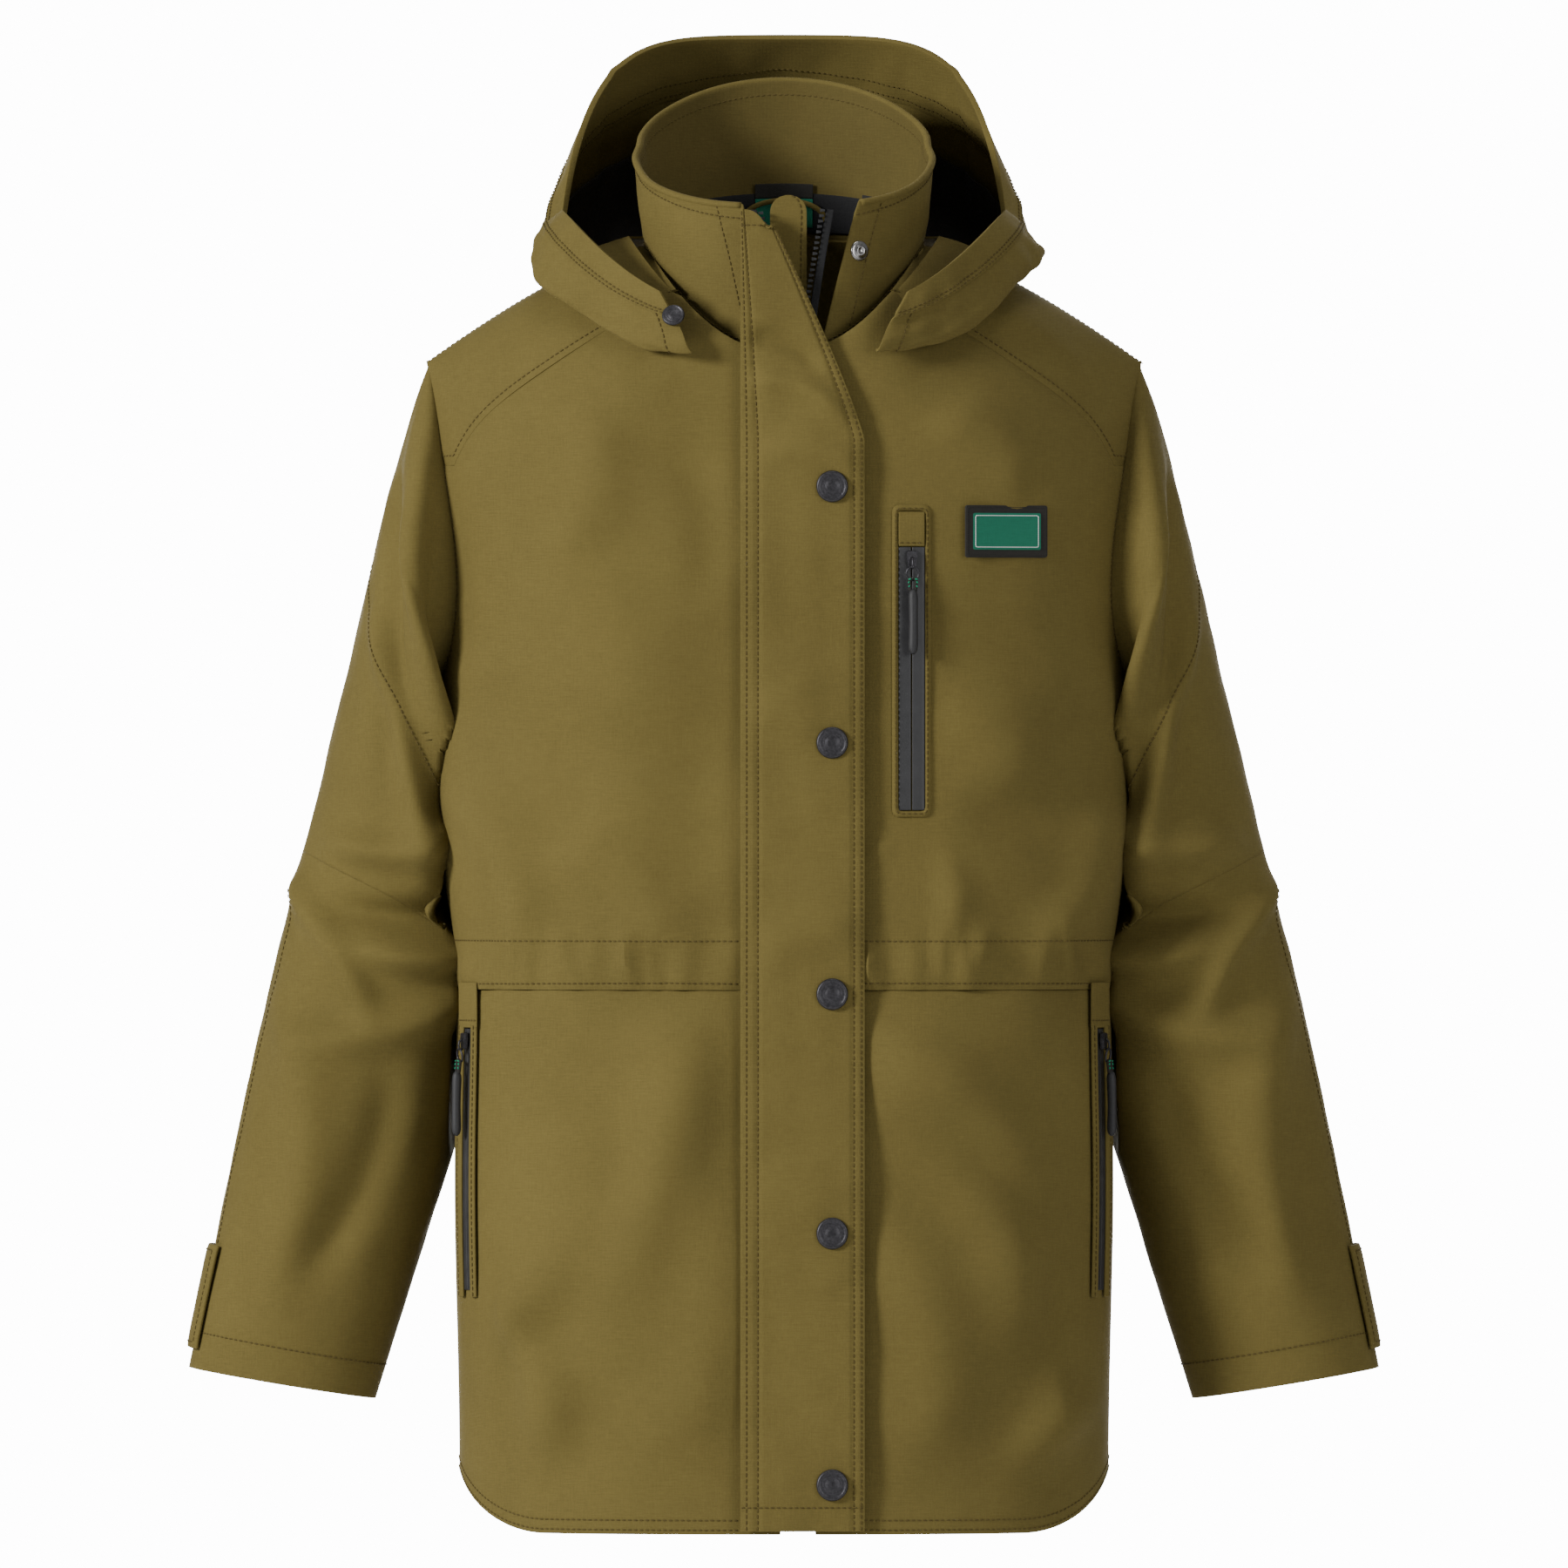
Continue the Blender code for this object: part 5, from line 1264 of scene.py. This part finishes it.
def zipPull(prefix, place, sliderBody, pullerBody, replacesSlider, replacesPuller):
    # the slider's wedge, a wire loop through it, a flecked cord and a rubber sleeve over its end
    here, across, up, out = place

    def at(a, b, c):
        return here + across * a + up * b + out * c
    plate(prefix + "Slider", np.array([(-0.0024, -0.0050), (0.0024, -0.0050), (0.0034, 0.0010),
                                       (0.0030, 0.0046),
                                       (0.0012, 0.0050), (-0.0012, 0.0050), (-0.0030, 0.0046),
                                       (-0.0034, 0.0010)]),
          0.0022, place, gunmetal, sliderBody, replacesSlider, 0.10)
    bridge = [at(0, b, c) for b, c in ((-0.0052, 0.0018), (-0.0050, 0.0036), (-0.0030, 0.0044),
                                       (-0.0004, 0.0040), (0.0010, 0.0020))]
    tubeAlong(prefix + "Bridge", resample(bridge, 0.0006), 0.0006, gunmetal, sliderBody,
              8)
    angle = np.linspace(0, 2 * math.pi, 33)
    loop = [at(0.0036 * math.sin(a), -0.0084 + 0.0038 * math.cos(a), 0.0036 + 0.0006
               * math.cos(a)) for a in angle]
    tubeAlong(prefix + "Wire", loop, 0.0006, gunmetal, pullerBody, 8)
    for side in (-1, 1):
        strand = [at(side * 0.0004, -0.0112, 0.0046), at(side * 0.0019, -0.0118, 0.0042),
                  at(side * 0.0017, -0.0145, 0.0044), at(side * 0.0014, -0.0185, 0.0048)]
        strand = resample(strand, 0.0005)
        tubeAlong(prefix + "Cord" + ("A" if side < 0 else "B"), strand, 0.0011, badgeBlack,
                  pullerBody,
                  10)
        for k in range(1, len(strand) - 3, 4):
            spot = strand[k] + out * 0.0010 + across * side * 0.0003
            run = strand[k + 2] - strand[k]
            tubeAlong(prefix + "Fleck%d%s" % (k, "A" if side < 0 else "B"),
                      [spot, spot + run * 0.9 + across * 0.0006 * side],
                      0.00042, greenFleck, pullerBody, 6)
    path = [at(0.0002 * math.sin(3 * t), -0.0172 - 0.0375 * t, 0.0052 + 0.0004
               * math.sin(math.pi * t)) for t in np.linspace(0, 1, 30)]
    t = np.linspace(0, 1, 30)
    swell = np.sqrt(np.clip(1 - np.abs(2 * t - 1) ** 9, 0.05, 1)) * (1 + 0.06
                                                                     * np.cos(2 * math.pi * t))
    tubeAlong(prefix + "Sleeve", path, 0.0027, rubber, pullerBody, 16, swell,
              replacesPuller)


place = facePlace(chest["x"], chestTop - 0.007, 0.0026)
zipPull("chest", place, "chest_slider", "chest_puller", ("chest_slider",), ("chest_puller",))

# badge: a blank patch, a dark border round a plain green field with a pale row of stitches
badge = {"x": 0.127, "z": 0.573, "size": (0.051, 0.030), "thick": 0.0014, "margin": 0.0045,
         "inset": 0.0030}
here, across, up, out = facePlace(badge["x"], badge["z"], 0.0026)
wide, tall = badge["size"]
plate("badgeBorder", roundedBox(wide, tall, 0.0014), badge["thick"], (here, across, up, out),
      badgeBlack,
      "torso", ("chest_patch",), 0.01)
top = here + out * badge["thick"]
fieldWide, fieldTall = wide - 2 * badge["margin"], tall - 2 * badge["margin"]
plate("badgeField", roundedBox(fieldWide, fieldTall, 0.0010), 0.00035, (top, across, up, out),
      badgeGreen,
      "torso")
for name, size, lift, thread in (
        ("badgeStitch", (wide - 0.0024, tall - 0.0024), 0.0, badgeBlack),
        ("badgeFieldStitch", (fieldWide - badge["inset"], fieldTall - badge["inset"]), 0.00035,
         badgePale)):
    edge = roundedBox(size[0], size[1], 0.0010, 8)
    edge = np.concatenate([edge, edge[:1]])
    loop = top + out * lift + edge[:, :1] * across + edge[:, 1:] * up
    stitchRow(name, loop, np.tile(out, (len(loop), 1)), "torso", 0.0012, 0.0011, 0.00030, thread)

# hand pockets
pocket = {"top": 0.288, "length": 0.150, "turn": math.radians(70.0), "width": 0.015}
step = pocket["width"] / 2 / 0.115


def sideStrip(phiFrom, phiTo, low, high, stand, rows, columns, side):
    phi = byColumn(phiFrom, phiTo, columns, rows)
    z = byRow(low, high, rows, columns)
    return bodyPoint(phi, z, True, -stand) * np.array([side, 1, 1])


low = pocket["top"] - pocket["length"]
for side, key, label in ((-1, "Right", "right"), (1, "Left", "left")):
    for part, a, b in (("Front", pocket["turn"] - step * 0.62, pocket["turn"] - 0.0012),
                       ("Back", pocket["turn"] + 0.0012, pocket["turn"] + step * 0.62)):
        strip = sideStrip(a, b, low, pocket["top"], 0.0016, 120, 10, side)
        solidSheet("hand" + key + "Tape" + part, strip, zipCoated, "torso",
                   ("hand_zip_tape_" + label,) if part == "Front" else (), 0.0008)
    for part, a, b in (("Front", pocket["turn"] - step * 1.5, pocket["turn"] - step * 0.60),
                       ("Back", pocket["turn"] + step * 0.60, pocket["turn"] + step * 1.45)):
        strip = sideStrip(a, b, low - 0.004, pocket["top"] + 0.002, 0.0022, 120, 12, side)
        share = np.linspace(0, 1, 12)[None, :]
        strip = strip + outNormals(strip) * (0.0012 * np.sin(math.pi * share))[..., None]
        solidSheet("hand" + key + "Welt" + part, strip, olive, "torso", (), 0.0014)
        sewAlong("hand" + key + "WeltStitch" + part, strip, "torso",
                 column=0.30 if part == "Front" else 0.70)
    strip = sideStrip(pocket["turn"] - step * 1.6, pocket["turn"] + step * 1.5, pocket["top"]
                      + 0.0006,
                      waistZ + 0.004, 0.0030, 24, 20, side)
    solidSheet("hand" + key + "Garage", strip, olive, "torso", ("hand_garage_" + label,), 0.0012)
    sewAlong("hand" + key + "GarageStitch", strip, "torso", row=0.16)
    middle = bodyPoint(np.array(pocket["turn"]), np.array(pocket["top"] - 0.007), True)
    above = bodyPoint(np.array(pocket["turn"]), np.array(pocket["top"]), True)
    beside = bodyPoint(np.array(pocket["turn"] + 0.03), np.array(pocket["top"] - 0.007), True)
    flip = np.array([side, 1, 1])
    up = (above - middle) * flip
    up = up / np.linalg.norm(up)
    across = (beside - middle) * flip * side
    across = across / np.linalg.norm(across)
    out = np.cross(across, up)
    zipPull("hand" + key, (middle * flip + out * 0.0030, across, up, out), "hand_slider_" + label,
            "hand_puller_" + label, ("hand_slider_" + label,), ("hand_puller_" + label,))

# inside the neck, lining and pocket bags
turn = byColumn(-1.9, 1.9, 90, 8)
rise = byRow(0.02, 0.27, 8, 90)
solidSheet("neckTape", collarPoint(turn, rise, -0.0046), tapeCloth, "torso", ("neck_tape",), 0.0006,
           centre=neckCentre)
loopY, loopZ = -sideY, -hemZ
arch = [(0.024 * math.cos(a), loopY + 0.0040 - 0.004 * math.sin(a), loopZ + 0.0014 - 0.012 + 0.012
         * math.sin(a))
        for a in np.linspace(0, math.pi, 40)]
tubeAlong("hangerLoop", arch, 0.0015, olive, "torso", 12, replaces=("hanger_loop",))
for number, (phi, half, low, high, finish) in enumerate(((0.0, 0.220, 0.05, 0.235, badgeGreen),
                                                         (0.0, 0.220, 0.24, 0.33, badgeBlack),
                                                         (-0.72, 0.090, 0.14, 0.30, badgeBlack))):
    turn = byColumn(-phi - half, -phi + half, 24, 10)
    rise = byRow(low, high, 10, 24)
    solidSheet("label" + str(number), collarPoint(turn, rise, -0.0056), finish, "torso", (), 0.0004,
               centre=neckCentre)
for name, label, low, high, first, last, side, inset in (
        ("chestBag", "chest_pocket_bag", 0.375, 0.595, 0.050, 0.118, 1, 0.0042),
        ("handBagRight", "hand_pocket_bag_right", 0.075, 0.296, 0.095, 0.180, -1, 0.0042),
        ("handBagLeft", "hand_pocket_bag_left", 0.075, 0.296, 0.095, 0.180, 1, 0.0042)):
    grid = sideStrip(float(phiOf(first)),
                     float(phiOf(last)) if name == "chestBag" else pocket["turn"] + 0.10,
                     low, high, -inset, 24, 20, side)
    solidSheet(name, grid, liningCloth, "torso", (label,), 0.0028)


def aroundStrip(name, low, high, inset, rows, columns, finish, replaced, field=0.0):
    # from one front edge round the back to the other, inside the cloth
    z = byRow(low, high, rows, columns)
    edge = float(phiOf(0.040))
    turn = byColumn(-math.pi + edge, math.pi - edge, columns, rows)
    phi = np.where(np.abs(turn) > sidePhi, np.sign(turn) * (math.pi - np.abs(turn)), turn)
    front, back = bodyPoint(phi, z, True, inset), bodyPoint(phi, z, False, inset)
    grid = np.where((np.abs(turn) > sidePhi)[..., None], front, back)
    grid = grid + outNormals(grid) * (field * ripple(turn * 0.15, z, 51, 0.09))[..., None]
    solidSheet(name, grid, finish, "torso", replaced, 0.0008)


aroundStrip("bodyLining", 0.030, 0.470, 0.0105, 40, 240, liningCloth, ("body_lining",),
            0.0012)
# the casing takes the darker olive copy: painted shade inside the jacket
aroundStrip("waistCasing", waistZ + 0.002, casingTop, 0.0024, 6, 200, oliveDarkenedForShade,
            ("waist_casing",))
print("pockets and trim made")


# the collar's stud and the dark snap of the hood's right end
def snapOn(name, grid, target, bodyName, profile, finish, size, centre):
    # at the grid point nearest to a place seen from the front
    normals = outNormals(grid, centre)
    far = np.hypot(grid[..., 0] - target[0], grid[..., 2]
                   - target[1]) + 0.5 * (grid[..., 1] - grid[..., 1].min())
    row, column = np.unravel_index(np.argmin(far), far.shape)
    out = normals[row, column]
    across = np.cross(np.array([0, 0, 1.0]), out)
    across = -across / np.linalg.norm(across) * np.sign(-across[0] if across[0] else 1)
    up = np.cross(out, across)
    shape = [(r0 * size, h * size) for r0, h in profile]
    return turnedPiece(name, shape, (grid[row, column], across, up, out), 48, finish,
                       bodyName)


snapOn("collarStud", grids["collar"], (0.0425, 0.7335), "torso", studProfile, silver,
       1.15, neckCentre)
hoodBend(snapOn("hoodSnap", hoodParts["hoodRight"], (-0.0600, 0.705), None, capProfile, gunmetal,
                0.72, neckCentre))
print("snaps made")


# floor, light and camera
def lamp(name, place, target, size, power):
    data = bpy.data.lights.new(name, "AREA")
    data.shape = "DISK"
    data.size = size
    data.energy = power
    light = bpy.data.objects.new(name, data)
    bpy.context.scene.collection.objects.link(light)
    light.location = np.array(place) + origin
    aim = np.array(target) - np.array(place)
    light.rotation_euler = (math.atan2(math.hypot(aim[0], aim[1]), -aim[2]), 0,
                            math.atan2(-aim[0], aim[1]))


studio = {"floor": -0.75, "pale": (0.80, 0.80, 0.80), "glow": 14.0, "reach": 9.0, "wall": 4.5,
          "near": -3.0, "far": 14.0, "curve": 0.6, "faint": 0.16, "white": 14.0}


def makeFloor():
    # a level floor and, far behind the jacket, a glowing wall that only lights and isn't seen
    far, curve = studio["far"], studio["curve"]
    floorLine = [(studio["near"], 0.0), (far, 0.0)]
    wallLine = [(far, 0.001)] + [(far + curve * math.sin(a), curve - curve * math.cos(a))
                                 for a in np.linspace(0.1, 1.57, 14)]
    wallLine += [(14.61, 5.0)]
    for name, line, side, glow in (("studioFloor", floorLine, studio["reach"], 0.0),
                                   ("studioWall", wallLine, studio["wall"], studio["glow"])):
        points = np.array([[[x, y, studio["floor"] + z] for x in (-side, side)] for y, z in line])
        sheet = makeMesh(name, points, uv=False)
        material, _, shader = newMaterial(name, studio["pale"], 0.9)
        shader.inputs["Emission Color"].default_value = (1, 1, 1, 1)
        shader.inputs["Emission Strength"].default_value = glow
        sheet.data.materials.append(material)
        sheet.visible_camera = glow == 0


makeFloor()
lamp("key", (-3.4, -2.3, 1.7), (0, 0, 0.42), 1.1, 215)
lamp("fill", (2.8, -3.2, 1.2), (0, 0, 0.42), 2.4, 60)
lamp("top", (0.2, -0.6, 3.4), (0, 0, 0.5), 1.6, 22)
lamp("rear", (0.6, 3.2, 2.4), (0, 0, 0.5), 2.4, 40)
world = bpy.context.scene.world or bpy.data.worlds.new("studio")
bpy.context.scene.world = world
world.use_nodes = True
# the camera sees a white background, while the light that the room gives stays faint
backdrop = world.node_tree.nodes["Background"]
backdrop.inputs["Color"].default_value = (1, 1, 1, 1)
rays = world.node_tree.nodes.new("ShaderNodeLightPath")
strength = world.node_tree.nodes.new("ShaderNodeMapRange")
strength.inputs["To Min"].default_value = studio["faint"]
strength.inputs["To Max"].default_value = studio["white"]
world.node_tree.links.new(rays.outputs["Is Camera Ray"], strength.inputs["Value"])
world.node_tree.links.new(strength.outputs["Result"], backdrop.inputs["Strength"])

view = {"distance": 12.0, "height": 0.4285, "frame": 0.90, "sensor": 36.0}
cameraData = bpy.data.cameras.new("camera")
cameraData.sensor_width = view["sensor"]
cameraData.lens = view["sensor"] * (view["distance"] - 0.06) / view["frame"]
cameraData.clip_end = 60
camera = bpy.data.objects.new("camera", cameraData)
bpy.context.scene.collection.objects.link(camera)
camera.location = np.array([0.0, -view["distance"], view["height"]]) + origin
camera.rotation_euler = (math.pi / 2, 0, 0)
bpy.context.scene.camera = camera
